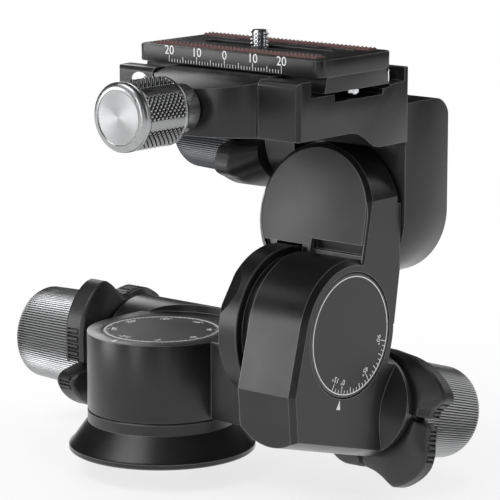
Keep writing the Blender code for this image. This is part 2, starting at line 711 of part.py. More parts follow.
def build_roll(looks, pan):
    pivot = empty("roll_body", TILT_CENTRE, pan)
    drop = TILT_WORM_DROP
    foot = -drop - TILT_TUBE_R
    turn = degrees(acos(TILT_TUBE_CUT / ROLL_R))
    body = slab(
        "roll_housing",
        [arc((0, 0), ROLL_R, -turn, 180, BODY_STEPS // 2)
         + [(-ROLL_R, -FACET_DROP), (-FACET_FOOT, foot), (TILT_TUBE_CUT, foot)]],
        ROLL_X0, ROLL_X1, ROLL_FRAME)
    left = ROLL_X0 - TILT_WORM_X
    right = ROLL_X1 - TILT_WORM_X
    sweep = arc((0, 0), TILT_TUBE_R, degrees(acos(right / TILT_TUBE_R)),
                degrees(acos(left / TILT_TUBE_R)))
    rise = -drop - ROLL_R - OVERRUN
    sole = slab(
        "sole",
        [[(left - OVERRUN, rise), (right + OVERRUN, rise), (right + OVERRUN, sweep[0][1])]
         + sweep + [(left - OVERRUN, sweep[-1][1])]],
        -ROLL_R - OVERRUN, ROLL_R + OVERRUN, TILT_WORM_FRAME)
    body = common(body, sole)
    neck = rod("neck", TILT_TUBE_R, TILT_TUBE_CUT - TUBE_OVERLAP, TILT_TUBE_END, TILT_WORM_FRAME)
    arm = slab(
        "arm",
        [[(ARM_LOW_Y, TILT_Z), (ARM_REAR_LOW_Y, TILT_Z), (ARM_REAR_Y, ARM_WAIST_Z),
          (ARM_REAR_Y, ARM_TOP_Z), (ARM_LOW_Y, ARM_TOP_Z)]],
        ROLL_X0, ROLL_X1, YZ_FRAME)
    lean = frame_at((0, ARM_FACE_Y, ARM_FACE_Z), (0, -cos(ARM_LEAN), sin(ARM_LEAN)), (1, 0, 0))
    facing = frame_at((HEAD_X, 0, HEAD_Z), (0, -1, 0), (1, 0, 0))
    ring = slab("ring", [arm_outline(ARM_R)], -ARM_REAR_Y, OVERRUN, facing)
    ring = bevelled(cut(ring, front_cutter(lean, 0), right_cutter()), ARM_CHAMFER, radians(50))
    at_cap = lean @ Matrix.Translation((HEAD_X - GAP, 0, 0))
    ring = cut(ring, slab("cap_seat", [arm_outline(CAP_R + GAP)], -CAP_T - GAP, OVERRUN, at_cap))
    arm = cut(arm, front_cutter(lean, ARM_SETBACK))
    body = join(body, neck, arm, ring)
    carrier = rod("carrier", DISC_R + RUN_GAP + RUN_GAP, DISC_X0 - OVERRUN, ROLL_X0 - TUBE_OVERLAP,
                  X_FRAME)
    spigot = rod("spigot", SPIGOT_R + RUN_GAP, DISC_X0 - OVERRUN, ROLL_X0 - GAP / 2, X_FRAME)
    dial_floor = ROLL_X1 - TILT_DIAL_DEEP
    axle = rod("axle_bore", TILT_AXLE_R + RUN_GAP, ROLL_X0 - OVERRUN, dial_floor, X_FRAME,
               TURNED_STEPS)
    half = WHEEL_W / 2 + RUN_GAP
    tip = drop - WORM_R
    wheel_room = rod("wheel_room", tip, TILT_WORM_X - half, dial_floor, X_FRAME)
    dial_seat = rod("dial_seat", TILT_DIAL_R + GAP, dial_floor - GAP, ROLL_X1 + OVERRUN, X_FRAME)
    worm_room = rod("worm_room", WORM_BORE_R, -WORM_ROOM, TILT_TUBE_END + OVERRUN,
                    TILT_WORM_FRAME, TURNED_STEPS)
    head_axle_hole = rod("head_axle_hole", HEAD_AXLE_R + GAP, AXLE_SEAT_Y,
                         ARM_REAR_Y + OVERRUN, HEAD_FRAME, TURNED_STEPS)
    body = cut(body, carrier, spigot, axle, wheel_room)
    body = combined(body, [dial_seat], "DIFFERENCE", True)
    body = cut(body, worm_room, head_axle_hole)
    finish(body, pivot, looks["black"])
    cap = slab("arm_cap", [arm_outline(CAP_R)], -CAP_T, 0, at_cap)
    clear = rod("clear", DISC_R + RUN_GAP + RUN_GAP, ROLL_X0 - ARM_R, ROLL_X0, X_FRAME)
    drum_room = rod("drum_room", ROLL_R + GAP, ROLL_X0 - GAP, ROLL_X1 + OVERRUN, X_FRAME)
    cap = cut(cap, clear, drum_room)
    finish(cap, pivot, looks["grey"])
    block_room = BLOCK_Y0 + BLOCK_ROOM_DEEP
    axle = rod("head_axle", HEAD_AXLE_R, AXLE_SEAT_Y + GAP, block_room - GAP, HEAD_FRAME,
               TURNED_STEPS)
    finish(axle, pivot, looks["steel"])
    wheel("head_worm_wheel", HEAD_WORM_RISE, WHEEL_W,
          HEAD_FRAME @ Matrix.Translation((0, 0, HEAD_WORM_Y)), HEAD_AXLE_R + GAP, pivot,
          looks["bronze"])
    return pivot


def build_head(looks, roll):
    pivot = empty("head_body", HEAD_CENTRE, roll)
    xz = frame_at((0, 0, 0), (0, -1, 0), (1, 0, 0))
    outline = (
        arc((HEAD_X, HEAD_Z), BLOCK_R, 180, 360)
        + [(BLOCK_X1, BLOCK_TOP), (BLOCK_X0, BLOCK_TOP)])
    block = slab("head_block", [outline], -BLOCK_Y1, -BLOCK_Y0, xz)
    tube = rod("tube", HEAD_TUBE_R, HEAD_X - HEAD_TUBE_X - HEAD_TUBE_LEN, HEAD_X - HEAD_TUBE_X,
               HEAD_WORM_FRAME)
    body = join(block, tube)
    over = BLOCK_TOP
    front = box("front", (-over, BLOCK_Y0 - HEAD_TUBE_R, KEEL_Z - GAP),
                (over, BLOCK_Y0, over + over))
    ring_room = rod("ring_room", ARM_R + RUN_GAP, 0, BLOCK_Y0, HEAD_FRAME)
    rounding = cut(
        box("rounding", (-over, BLOCK_Y1 - BLOCK_ROUND, BLOCK_TOP - BLOCK_ROUND),
            (over, BLOCK_Y1 + HEAD_TUBE_R, BLOCK_TOP + HEAD_TUBE_R)),
        rod("round", BLOCK_ROUND, -over - OVERRUN, over + OVERRUN,
            frame_at((0, BLOCK_Y1 - BLOCK_ROUND, BLOCK_TOP - BLOCK_ROUND), (1, 0, 0), (0, 1, 0))))
    room = rod("room", HEAD_WORM_RISE - WORM_R, BLOCK_Y0 - OVERRUN,
               BLOCK_Y0 + BLOCK_ROOM_DEEP, HEAD_FRAME)
    worm_room = rod("worm_room", WORM_BORE_R, -WORM_ROOM, HEAD_X - HEAD_TUBE_X + OVERRUN,
                    HEAD_WORM_FRAME, TURNED_STEPS)
    body = cut(body, front, ring_room, rounding, room, worm_room)
    finish(body, pivot, looks["black"])
    return pivot


def clamp_profile():
    return [
        (WING_Y, CLAMP_BOTTOM), (KEEL_RISE_Y, CLAMP_BOTTOM), (KEEL_MID_Y, KEEL_MID_Z),
        (KEEL_Y, KEEL_Z), (REAR_Y, KEEL_Z), (REAR_Y, CLAMP_TOP), (REAR_WALL_Y, CLAMP_TOP),
        (REAR_WALL_Y, PLATE_FOOT_Z), (CHANNEL_Y1, LEDGE_Z), (CHANNEL_Y1, CLAMP_FLOOR),
        (CHANNEL_Y0, CLAMP_FLOOR), (CHANNEL_Y0, LEDGE_Z), (WING_WALL_Y, LEDGE_Z),
        (WING_WALL_Y, CLAMP_TOP), (WING_Y + WING_ROUND, CLAMP_TOP), (WING_Y, CLAMP_TOP - WING_ROUND)]


def build_clamp(looks, head):
    body = slab("clamp_body", [clamp_profile()], CLAMP_X0, CLAMP_X1, YZ_FRAME)
    over = CLAMP_X1
    jaw_room = box(
        "jaw_room", (JAW_X0 - GAP, WING_Y - OVERRUN, CLAMP_BOTTOM - OVERRUN),
        (JAW_X1 + GAP, JAW_BACK_Y + JAW_TRAVEL_IN + GAP, CLAMP_TOP + OVERRUN))
    lip = slab(
        "lip",
        [[(REAR_WALL_Y + GAP, LEDGE_Z), (PLATE_FOOT_Y + RUN_GAP, LEDGE_Z),
          (PLATE_NECK_Y + RUN_GAP, PLATE_TOP - PLATE_BAND - RUN_GAP),
          (REAR_WALL_Y + GAP, PLATE_TOP - PLATE_BAND - RUN_GAP)]],
        JAW_X0, JAW_X1 + LIP_LONGER, YZ_FRAME)
    screw_hole = rod("screw_hole", CLAMP_SCREW_R + RUN_GAP, -SCREW_HOLE_Y, -WING_Y + OVERRUN,
                     frame_at((KNOB_X, 0, KNOB_Z), (0, -1, 0), (1, 0, 0)), SMALL_STEPS)
    eyelet = rod("eyelet", EYELET_R, -EYELET_R * 4, EYELET_R * 4,
                 frame_at((CLAMP_X0 + EYELET_IN, WING_Y + EYELET_IN, EYELET_Z), (-1, 1, 0),
                          (0, 0, 1)), SMALL_STEPS)
    pin_hole = rod("pin_hole", PIN_R + RUN_GAP, PIN_Z0 - PIN_PRESS - GAP, CLAMP_TOP + OVERRUN,
                   Matrix.Translation((PIN_X, PIN_Y, 0)), SMALL_STEPS)
    scallop = rod("scallop", SCALLOP_R, HEAD_X - HEAD_TUBE_X - GAP, HEAD_X, HEAD_WORM_FRAME)
    body = cut(join(body, lip), jaw_room, screw_hole, eyelet, pin_hole, scallop)
    finish(body, head, looks["black"])
    pin = turned(
        "safety_pin",
        [(0, PIN_Z0), (PIN_R, PIN_Z0), (PIN_R, PIN_Z1 - PIN_R), (0, PIN_Z1)],
        Matrix.Translation((PIN_X, PIN_Y, 0)), SMALL_STEPS)
    pin_pivot = empty("pin_body", (PIN_X, PIN_Y, PIN_Z0), head)
    finish(pin, pin_pivot, looks["steel"])
    jaw_pivot = empty("jaw_body", (KNOB_X, WING_Y, KNOB_Z), head)
    half = (JAW_X1 - JAW_X0) / 2 - GAP
    sag = WING_Y - JAW_NOSE_Y
    nose_r = (half * half + sag * sag) / (2 * sag)
    spread = degrees(acos((nose_r - sag) / nose_r))
    nose = arc((KNOB_X, JAW_NOSE_Y + nose_r), nose_r, 270 - spread, 270 + spread, ARC_POINTS // 2)
    jaw = slab(
        "movable_jaw", [nose + [(KNOB_X + half, JAW_BACK_Y), (KNOB_X - half, JAW_BACK_Y)]],
        CLAMP_BOTTOM, CLAMP_TOP, WORLD)
    slope = frame_at((0, WING_WALL_Y, CLAMP_TOP), (0, -JAW_SLOPE_SHARE, 1), (1, 0, 0))
    top = slab("top", [[(-over, -over), (over * 2, -over), (over * 2, 0), (-over, 0)]],
               0, over, slope)
    lip = slab(
        "jaw_lip",
        [[(JAW_BACK_Y - OVERRUN, LEDGE_Z + GAP), (-PLATE_FOOT_Y - RUN_GAP, LEDGE_Z + GAP),
          (-PLATE_NECK_Y - RUN_GAP, CLAMP_TOP), (JAW_BACK_Y - OVERRUN, CLAMP_TOP)]],
        KNOB_X - half, KNOB_X + half, YZ_FRAME)
    screw_bore = rod("screw_bore", CLAMP_SCREW_R + RUN_GAP, -JAW_BACK_Y - OVERRUN,
                     -JAW_NOSE_Y + OVERRUN, frame_at((KNOB_X, 0, KNOB_Z), (0, -1, 0), (1, 0, 0)),
                     SMALL_STEPS)
    jaw = cut(join(jaw, lip), top, screw_bore)
    finish(jaw, jaw_pivot, looks["black"])
    return jaw_pivot


def build_clamp_knob(looks, jaw):
    frame = frame_at((KNOB_X, 0, KNOB_Z), (0, -1, 0), (1, 0, 0))
    collar = turned(
        "clamp_knob_collar",
        [(CLAMP_SCREW_R + RUN_GAP, -JAW_NOSE_Y + GAP), (CLAMP_COLLAR_R, -JAW_NOSE_Y + GAP),
         (CLAMP_COLLAR_R, -CLAMP_KNOB_Y0 - GAP), (CLAMP_SCREW_R + RUN_GAP, -CLAMP_KNOB_Y0 - GAP)],
        frame, TURNED_STEPS)
    finish(collar, jaw, looks["steel"])
    spin = empty("clamp_knob_body", (KNOB_X, JAW_NOSE_Y, KNOB_Z), jaw)
    front = -CLAMP_KNOB_Y1
    knob = turned(
        "clamp_knob",
        [(CLAMP_SCREW_R + GAP, -CLAMP_KNOB_Y0), (CLAMP_KNOB_R - KNOB_LIP, -CLAMP_KNOB_Y0),
         (CLAMP_KNOB_R, -CLAMP_KNOB_Y0 + KNOB_LIP), (CLAMP_KNOB_R, front - KNOB_RIM),
         (CLAMP_KNOB_R - KNOB_LIP, front - KNOB_LIP), (CLAMP_KNOB_R - KNOB_RIM, front),
         (0, front), (0, front - KNOB_FLOOR), (CLAMP_SCREW_R + GAP, front - KNOB_FLOOR)],
        frame, TURNED_STEPS)
    finish(knob, spin, looks["silver"])
    screw = threaded("clamp_screw", CLAMP_SCREW_R, SCREW_DEPTH, CLAMP_PITCH, -SCREW_THREAD_Y0,
                     -SCREW_THREAD_Y1, frame)
    shank = rod("shank", CLAMP_SCREW_R - SCREW_DEPTH / 2, -SCREW_THREAD_Y1 - GAP,
                front - KNOB_FLOOR - GAP, frame, SMALL_STEPS)
    screw = join(screw, shank)
    finish(screw, spin, looks["steel"])
    return spin


def build_plate(looks, head):
    pivot = empty("plate_body", (KNOB_X, 0, PLATE_TOP), head)
    neck = PLATE_TOP - PLATE_BAND
    foot = slab(
        "plate_foot",
        [[(-PLATE_FOOT_Y, PLATE_FOOT_Z), (PLATE_FOOT_Y, PLATE_FOOT_Z), (PLATE_NECK_Y, neck),
          (PLATE_NECK_Y, neck + GAP), (-PLATE_NECK_Y, neck + GAP), (-PLATE_NECK_Y, neck)]],
        PLATE_X0 + FOOT_IN, PLATE_X1 - FOOT_IN, YZ_FRAME)
    corner = PLATE_CORNER
    outline = (
        arc((PLATE_X1 - corner, PLATE_Y1 - corner), corner, 0, 90, 4)
        + arc((PLATE_X0 + corner, PLATE_Y1 - corner), corner, 90, 180, 4)
        + arc((PLATE_X0 + corner, PLATE_Y0 + corner), corner, 180, 270, 4)
        + arc((PLATE_X1 - corner, PLATE_Y0 + corner), corner, 270, 360, 4))
    band = slab("camera_plate", [outline], neck, PLATE_TOP, WORLD)
    band = bevelled(band, PLATE_EDGE, radians(60))
    plate = join(band, foot)
    ends = SLOT_W / 2
    slot_outline = (
        arc((SLOT_X1 - ends, SLOT_Y), ends, -90, 90, 8)
        + arc((SLOT_X0 + ends, SLOT_Y), ends, 90, 270, 8))
    slot = slab("slot", [slot_outline], PLATE_TOP - SLOT_DEEP, PLATE_TOP + OVERRUN, WORLD)
    ends = SLOT_W / 2 - SLOT_LIP
    through_outline = (
        arc((SLOT_X1 - SLOT_W / 2, SLOT_Y), ends, -90, 90, 8)
        + arc((SLOT_X0 + SLOT_W / 2, SLOT_Y), ends, 90, 270, 8))
    through = slab("through", [through_outline], PLATE_FOOT_Z - OVERRUN, PLATE_TOP, WORLD)
    seats = []
    strips = []
    for label, (x0, x1, y0, y1) in STRIPS.items():
        seats.append(box(label + "_seat", (x0 - GAP, y0 - GAP, PLATE_TOP - STRIP_SINK - GAP),
                         (x1 + GAP, y1 + GAP, PLATE_TOP + OVERRUN)))
        strips.append(box(label, (x0, y0, PLATE_TOP - STRIP_SINK), (x1, y1, PLATE_TOP + STRIP_H)))
    plate = cut(plate, slot, through, *seats)
    finish(plate, pivot, looks["black"])
    for strip in strips:
        finish(strip, pivot, looks["rubber"])
    spin = empty("camera_screw_body", (CAMERA_SCREW_X, SLOT_Y, PLATE_TOP), pivot)
    at_screw = Matrix.Translation((CAMERA_SCREW_X, SLOT_Y, 0))
    head_top = PLATE_TOP - RUN_GAP
    head_low = PLATE_TOP - SLOT_DEEP + RUN_GAP
    head = rod("camera_screw", SLOT_W / 2 - RUN_GAP, head_low, head_top, at_screw, SMALL_STEPS)
    shank = threaded("shank", CAMERA_SCREW_R, SCREW_DEPTH, CAMERA_PITCH, head_top - OVERRUN,
                     PLATE_TOP + CAMERA_SCREW_UP, at_screw)
    finish(join(head, shank), spin, looks["steel"])


def main():
    looks = {
        "black": material("black_anodised", BLACK, 0.42, 0.0),
        "grey": material("grey_anodised", GREY, 0.5, 0.2),
        "silver": material("silver_aluminium", SILVER, 0.3, 1.0),
        "steel": material("polished_steel", SILVER, 0.22, 1.0),
        "bronze": material("bronze", (0.45, 0.27, 0.1), 0.35, 1.0),
        "plastic": material("black_plastic", (0.025, 0.025, 0.027), 0.5, 0.0),
        "rubber": material("red_brown_rubber", (0.27, 0.11, 0.1), 0.8, 0.0),
    }
    silver_knob = dict(looks, knob=material("knob_silver", SILVER, 0.32, 1.0))
    dark_knob = dict(looks, knob=material("knob_dark", GREY, 0.4, 0.8))
    root = build_base(looks)
    pan = build_pan(looks, root)
    roll = build_roll(looks, pan)
    head = build_head(looks, roll)
    jaw = build_clamp(looks, head)
    build_clamp_knob(looks, jaw)
    build_plate(looks, head)
    movements = (
        ("pan", PAN_WORM, PAN_WORM_FRAME, -PAN_TUBE_X, PAN_KNOB_R,
         PAN_KNOB_T1, PAN_LEVER_SHARES, -7, 1, pan),
        ("tilt", TILT_WORM, TILT_WORM_FRAME, TILT_TUBE_END, TILT_KNOB_R,
         TILT_KNOB_T1, TILT_LEVER_SHARES, -7, -1, roll),
        ("head", HEAD_WORM, HEAD_WORM_FRAME, HEAD_X - HEAD_TUBE_X, HEAD_KNOB_R,
         HEAD_KNOB_T1, HEAD_LEVER_SHARES, -5, 1, head))
    for name, centre, frame, tube_end, radius, end, shares, slit, sense, carrier in movements:
        spin = empty(name + "_worm_body", centre, carrier)
        release = empty(name + "_release_body", centre, carrier)
        style = dark_knob if name == "head" else silver_knob
        drive(name, frame, tube_end, radius, end, shares, slit, sense, (carrier, spin, release),
              style)


main()
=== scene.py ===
import json
from math import acos, ceil, cos, degrees, radians, sin

import bmesh
import bpy
from mathutils import Matrix, Vector


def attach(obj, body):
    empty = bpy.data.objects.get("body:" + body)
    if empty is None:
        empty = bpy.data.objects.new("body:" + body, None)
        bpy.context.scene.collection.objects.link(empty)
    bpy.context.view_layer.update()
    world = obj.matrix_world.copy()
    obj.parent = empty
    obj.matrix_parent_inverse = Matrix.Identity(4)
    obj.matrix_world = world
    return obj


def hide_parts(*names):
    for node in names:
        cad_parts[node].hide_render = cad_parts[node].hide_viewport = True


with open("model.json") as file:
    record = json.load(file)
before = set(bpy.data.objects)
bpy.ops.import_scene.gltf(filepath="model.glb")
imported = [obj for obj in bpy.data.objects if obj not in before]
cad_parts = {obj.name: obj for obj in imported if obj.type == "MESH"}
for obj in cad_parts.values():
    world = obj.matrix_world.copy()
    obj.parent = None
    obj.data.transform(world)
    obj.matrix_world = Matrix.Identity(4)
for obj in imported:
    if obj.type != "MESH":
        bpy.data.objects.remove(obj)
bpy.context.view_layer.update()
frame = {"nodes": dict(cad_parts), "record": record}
NODES = frame["nodes"]

# Lengths are in millimetres, and the mesh tools turn them into metres. The camera, the lamps
# and the materials' nodes are in metres.
MM = 0.001
MERGE = 0.01
GAP = 0.3
OVER = 2.0
FAR = 200.0
FINE = 192
STEPS = 144

# Camera fitted to the photograph
CAMERA_PLACE = (0.608715, -0.67417, 0.247466)
CAMERA_TURN = 40.141
CAMERA_TIP = 11.066
CAMERA_LENS = 192.46

# Studio: lamps as name, place, width, height and power
LAMPS = (
    ("key", (-0.25, -0.55, 1.0), 0.7, 0.5, 5.0), ("front_left", (-0.9, -0.9, 0.25), 0.6, 0.5, 6.0),
    ("front", (0.05, -1.2, 0.3), 0.16, 0.9, 3.4), ("near", (0.95, -0.95, 0.3), 0.1, 0.9, 1.0),
    ("back_left", (-0.8, 0.6, 0.35), 0.25, 0.9, 2.2), ("right", (1.1, 0.5, 0.45), 0.4, 0.9, 2.2),
    ("back", (0.2, 1.0, 0.55), 0.8, 0.3, 1.6))
LAMP_AIM = (0.03, 0, 0.07)
FILL_LIGHT = 0.55
MIRRORED_LIGHT = 0.035
FLOOR_LIGHT = 1.2

# Foot and pan
FOOT_R = 32.7
FOOT_RIM = 2.1
FOOT_NECK_Z = 10.25
FOOT_TOP = 14.2
FOOT_BORE = 9.3
PAN_R = 26.1
PAN_FLOOR = 14.5
PAN_TOP = 41.82
DIAL_R = 20.8
DIAL_DEEP = 3.0
PAN_WORM = (0, 28.0, 24.3)
PAN_TUBE_R = 20.2
PAN_TUBE_X = -36.6
PAN_SIDE_Y = 17.7
PAN_FRONT_Y = -3.8
PAN_ARM_Y = 20.0
PAN_ROOM_R = 21.1
PAN_ROOM_TOP = 29.2
PAN_BORE = 8.4
RECESS_R = 29.5
CHEEK_X0 = 38.0
CHEEK_X1 = 47.4
CHEEK_R = 15.0
CHEEK_REAR = 24.0
CHEEK_FOOT = 30.0

# Lower tilt
TILT_Z = 51.82
TILT_REST = radians(15)
DISC_X0 = CHEEK_X1 + GAP
DISC_X1 = 56.4
DISC_R = 26.5
DISC_FLAT = (DISC_X0, -18.0, 68.7)
SPIGOT_R = 23.4
ROLL_X0 = 60.4
ROLL_X1 = 83.29
ROLL_R = 25.0
ROLL_CHAMFER = 1.8
FACET_DROP = 22.9
FACET_FOOT = 18.8
TILT_WORM_X = 73.0
WORM_DROP = 22.0
TUBE_R = 18.0
TILT_TUBE_CUT = 22.0
TILT_TUBE_END = 32.0
SHOULDER_START = 23.0
SHOULDER_END = 27.5
ARM_R = 23.9
ARM_REAR = 26.4
ARM_TOP = 92.4
ARM_WAIST = 69.6
ARM_REAR_LOW = 23.6
ARM_LOW_Y = 3.0
ARM_FACE = (8.35, 88.7)
ARM_LEAN = radians(12)
ARM_SETBACK = 3.8
ARM_CHAMFER = 1.7
CAP_R = 21.9
CAP_T = 1.2
NOTCH_X0 = 61.4
NOTCH_X1 = 82.0
NOTCH_Y0 = -5.0
NOTCH_Y1 = 9.4
NOTCH_Z0 = 77.0
NOTCH_Z1 = 80.7
HEAD_X = 60.5
HEAD_Z = 87.7

# Upper tilt block and clamp
BLOCK_X0 = 36.2
BLOCK_X1 = 84.8
BLOCK_Y0 = 27.0
BLOCK_Y1 = 51.0
BLOCK_TOP = 125.9
BLOCK_ROUND = 8.0
HEAD_WORM_Y = 39.0
HEAD_TUBE_X = 28.0
HEAD_TUBE_LEN = 14.0
HEAD_TUBE_END = HEAD_X - HEAD_TUBE_X
CLAMP_X0 = 8.6
CLAMP_X1 = 85.7
CLAMP_BOTTOM = 119.3
CLAMP_TOP = 138.2
WING_Y = -30.6
WING_WALL_Y = -24.0
LEDGE_Z = 132.9
FLOOR_Z = 130.4
REAR_WALL_Y = 24.8
REAR_Y = 26.7
KEEL_Z = 113.1
SCALLOP_R = 25.6
JAW_X0 = 24.6
JAW_X1 = 68.9
JAW_NOSE = -41.0
JAW_BACK = -22.0
JAW_SLOPE_SHARE = 0.2
KNOB_X = 46.75
KNOB_Z = 128.3
CLAMP_KNOB_R = 11.2
CLAMP_KNOB_T0 = 50.0
CLAMP_KNOB_T1 = 71.5
COLLAR_R = 8.0
CLAMP_CORNER = 1.8
PIN_X = 80.5
PIN_Y = 21.2
PIN_HOLE_R = 2.0
PIN_FLOOR = 128.2
EYELET_R = 2.4
EYELET = (CLAMP_X0 + 5, WING_Y + 5, 134)

# Bores of the gear train: worm, wheel and axle rooms
WORM_ROOM_R = 8.0
WORM_ROOM_T = 12.1
WHEEL_ROOM_R = 15.1
WHEEL_ROOM_T = 17.5
WHEEL_ROOM_X = 68.1
AXLE_R = 7.3
SCREW_HOLE_R = 3.9

# Marks
MARK_T = 0.06
MARK_LIFT = 0.02
RIDGE = 0.35
DIAL_LETTER = 2.6
PLATE_LETTER = 4.2
PLATE_TICK_X = 45.9
PLATE_TICK_STEP = 1.198

# Plate, with slots as (x0, x1, y, width, depth) and strips as (name, x0, x1, y0, y1)
PLATE_X0 = 7.8
PLATE_X1 = 85.7
PLATE_Y0 = -19.65
PLATE_Y1 = 18.35
PLATE_TOP = 144.25
PLATE_BAND = 5.7
PLATE_NECK_Z = PLATE_TOP - PLATE_BAND
PLATE_FOOT_Z = 133.4
PLATE_FOOT_Y = 16.8
PLATE_NECK_Y = 15.3
PLATE_CORNER = 3.0
SLOT_Y = 1.0
SCREW_X = 43.5
SCREW_R = 3.175
SCREW_UP = 5.2
SCREW_PITCH = 1.27
SCREW_DEPTH = 0.62
SCREW_HEAD_R = 3.1
PLATE_SLOTS = (
    (20.0, 73.5, SLOT_Y, 7.0, 3.0), (21.6, 71.9, SLOT_Y, 3.8, 12.0), (14.5, 26.7, 9.6, 2.6, 4.0),
    (49.0, 61.0, 9.6, 2.6, 4.0), (66.0, 76.0, 9.6, 2.6, 4.0), (14.5, 26.7, -7.6, 2.6, 4.0),
    (62.0, 76.0, -7.6, 2.6, 4.0))
PLATE_STRIPS = (("strip_front", 12.0, 81.0, -16.0, -11.5), ("strip_rear", 8.8, 80.0, 12.8, 16.9))

# Levers and knobs
LEVER_R = 22.0
HUB_R = 13.4
KNOB_BORE = 3.8
LEVER_LIP = 17.2
LEVER_POCKET = 3.0
LEVER_CLEAR = 0.6
SEAM = 173
SLIT_HALF = 3.2
SECTOR = 88
RIB_HALF = 0.75
RIB_LINE = 0.3
RIB_DEEP = 0.7
KNOB_TEETH = 112
KNOB_TAPER = 1.0
KNOB_DEEP = 0.5
TOOTH = (0.0, 0.3, 1.0, 0.3)
CLAMP_PITCH = 1.9
CLAMP_DEEP = 0.6
CLAMP_FLUTE = 0.15
# The outline runs round the worm's axis as angles and shares of LEVER_R. The slit and the ribs
# are angles too. The foot is the radius at the tube, and band and edge are heights above it.
PAN_LEVER = {
    "slit": -7, "sense": 1, "foot": 19.0, "band": 4.9, "edge": 12.4,
    "knob_r": 18.1, "knob_end": 48.0,
    "ribs": [21, 15.2, 9.4, 3.6, -1.8, -13, -18.4, 93, 99.5, 106, 112.5, 119, 125.5],
    "outline": [
        (173, 1.0), (150, 1.02), (130, 1.06), (110, 1.03), (97, 0.96), (88, 0.92), (79, 0.95),
        (73, 1.08), (67, 1.3), (60, 1.36), (46, 1.35), (33, 1.31), (22, 1.25), (9, 1.18),
        (-7, 1.17), (-10, 1.3), (-14, 1.42), (-20, 1.42), (-29, 1.36), (-41, 1.25), (-51, 1.15),
        (-65, 1.05), (-80, 1.0), (-95, 1.0), (-120, 1.0), (-150, 1.0)]}
TILT_LEVER = {
    "slit": -7, "sense": -1, "foot": 18.4, "band": 4.4, "edge": 9.8,
    "knob_r": 17.1, "knob_end": 44.0,
    "ribs": [7.5, 0.5, -12.5, -19.5, -26.5, -33.5, 58, 65.5, 73, 80.5, 88, -100, -107, -114],
    "outline": [
        (173, 1.0), (146, 0.98), (120, 0.93), (90, 0.88), (75, 0.88), (57, 0.95), (40, 1.05),
        (25, 1.17), (13, 1.24), (9, 1.15), (4, 1.03), (-7, 1.0), (-17, 1.05), (-24, 1.11),
        (-31, 1.21), (-40, 1.3), (-51, 1.33), (-67, 1.31), (-74, 1.15), (-81, 1.05), (-90, 1.0),
        (-104, 1.03), (-118, 1.12), (-131, 1.15), (-145, 1.1), (-160, 1.02)]}
HEAD_LEVER = {
    "slit": -5, "sense": 1, "foot": 18.4, "band": 8.2, "edge": 14.4,
    "knob_r": 17.6, "knob_end": 44.5,
    "ribs": [7, 14, -50, -57.5, -65, -72.5, -80],
    "outline": [
        (173, 1.0), (150, 1.0), (121, 1.0), (97, 1.02), (84, 1.04), (62, 1.08), (39, 1.08),
        (15, 1.06), (1, 1.0), (-7, 1.07), (-13, 1.2), (-23, 1.32), (-35, 1.18), (-48, 1.07),
        (-60, 0.98), (-75, 0.93), (-95, 0.93), (-120, 0.98), (-150, 1.0)]}

UP_TILT = Vector((0, sin(TILT_REST), cos(TILT_REST)))
OUT_TILT = Vector((0, cos(TILT_REST), -sin(TILT_REST)))
TILT_CENTRE = (0, 0, TILT_Z)


def moved(*place):
    return Matrix.Translation([c * MM for c in place])


def frame_at(origin, along, side):
    z_axis = Vector(along).normalized()
    x_axis = Vector(side).normalized()
    return moved(*origin) @ Matrix((x_axis, z_axis.cross(x_axis), z_axis)).transposed().to_4x4()


WORLD = Matrix.Identity(4)
ROLL_FRAME = frame_at(TILT_CENTRE, (1, 0, 0), OUT_TILT)
X_FRAME = frame_at(TILT_CENTRE, (1, 0, 0), (0, 1, 0))
YZ_FRAME = frame_at((0, 0, 0), (1, 0, 0), (0, 1, 0))
HEAD_FRAME = frame_at((HEAD_X, 0, HEAD_Z), (0, 1, 0), (1, 0, 0))
PAN_WORM_FRAME = frame_at(PAN_WORM, (-1, 0, 0), (0, -1, 0))
TILT_WORM = Vector((TILT_WORM_X, 0, TILT_Z)) - WORM_DROP * UP_TILT
TILT_WORM_FRAME = frame_at(TILT_WORM, OUT_TILT, (1, 0, 0))
HEAD_WORM_FRAME = frame_at(
    (HEAD_X, HEAD_WORM_Y, HEAD_Z + WORM_DROP), (-1, 0, 0), (0, -1, 0))
FRONT_FRAME = frame_at((KNOB_X, 0, KNOB_Z), (0, -1, 0), (1, 0, 0))
PLATE_FRAME = frame_at((0, PLATE_Y0 - MARK_LIFT, 0), (0, -1, 0), (1, 0, 0))
LEAN = frame_at((HEAD_X, *ARM_FACE), (0, -cos(ARM_LEAN), sin(ARM_LEAN)), (1, 0, 0))


# Materials
# Painted edge highlight: how far it reaches from a sharp edge, and its tone.
EDGE_HIGHLIGHT_WIDTH = 0.45
EDGE_HIGHLIGHT_TONE = (0.24, 0.24, 0.245, 1)
SILVER_TONE = (0.37, 0.373, 0.377)
DARK_TONE = (0.09, 0.092, 0.096)
# Painted shade in the knurl's grooves: its tone, and the depths below the top where it is full and
# where it ends.
GROOVE_SHADE_TONE = (0.02, 0.02, 0.021, 1)
GROOVE_SHADE_LOW = 0.45
GROOVE_SHADE_HIGH = 0.1
ALONG_Z = (1, 1, 0.15)


def feed(tree, node, sockets):
    # Gives each socket its value, or a link from the socket that feeds it.
    for key, value in sockets.items():
        if isinstance(value, bpy.types.NodeSocket):
            tree.links.new(value, node.inputs[key])
        else:
            node.inputs[key].default_value = value


def add(tree, kind, sockets, operation=None):
    node = tree.nodes.new(kind)
    if operation:
        node.operation = operation
    feed(tree, node, sockets)
    return node.outputs


def shade(tree, sockets):
    feed(tree, tree.nodes["Principled BSDF"], sockets)


def sums(tree, operation, *values):
    return add(tree, "ShaderNodeMath", dict(enumerate(values)), operation)["Value"]


def mixed(tree, share, first, second):
    return add(tree, "ShaderNodeMixShader", {0: share, 1: first, 2: second})["Shader"]


def overlaid(tree, share, first, second):
    node = tree.nodes.new("ShaderNodeMix")
    node.data_type = "RGBA"
    feed(tree, node, {0: share, 6: first, 7: second})
    return node.outputs[2]


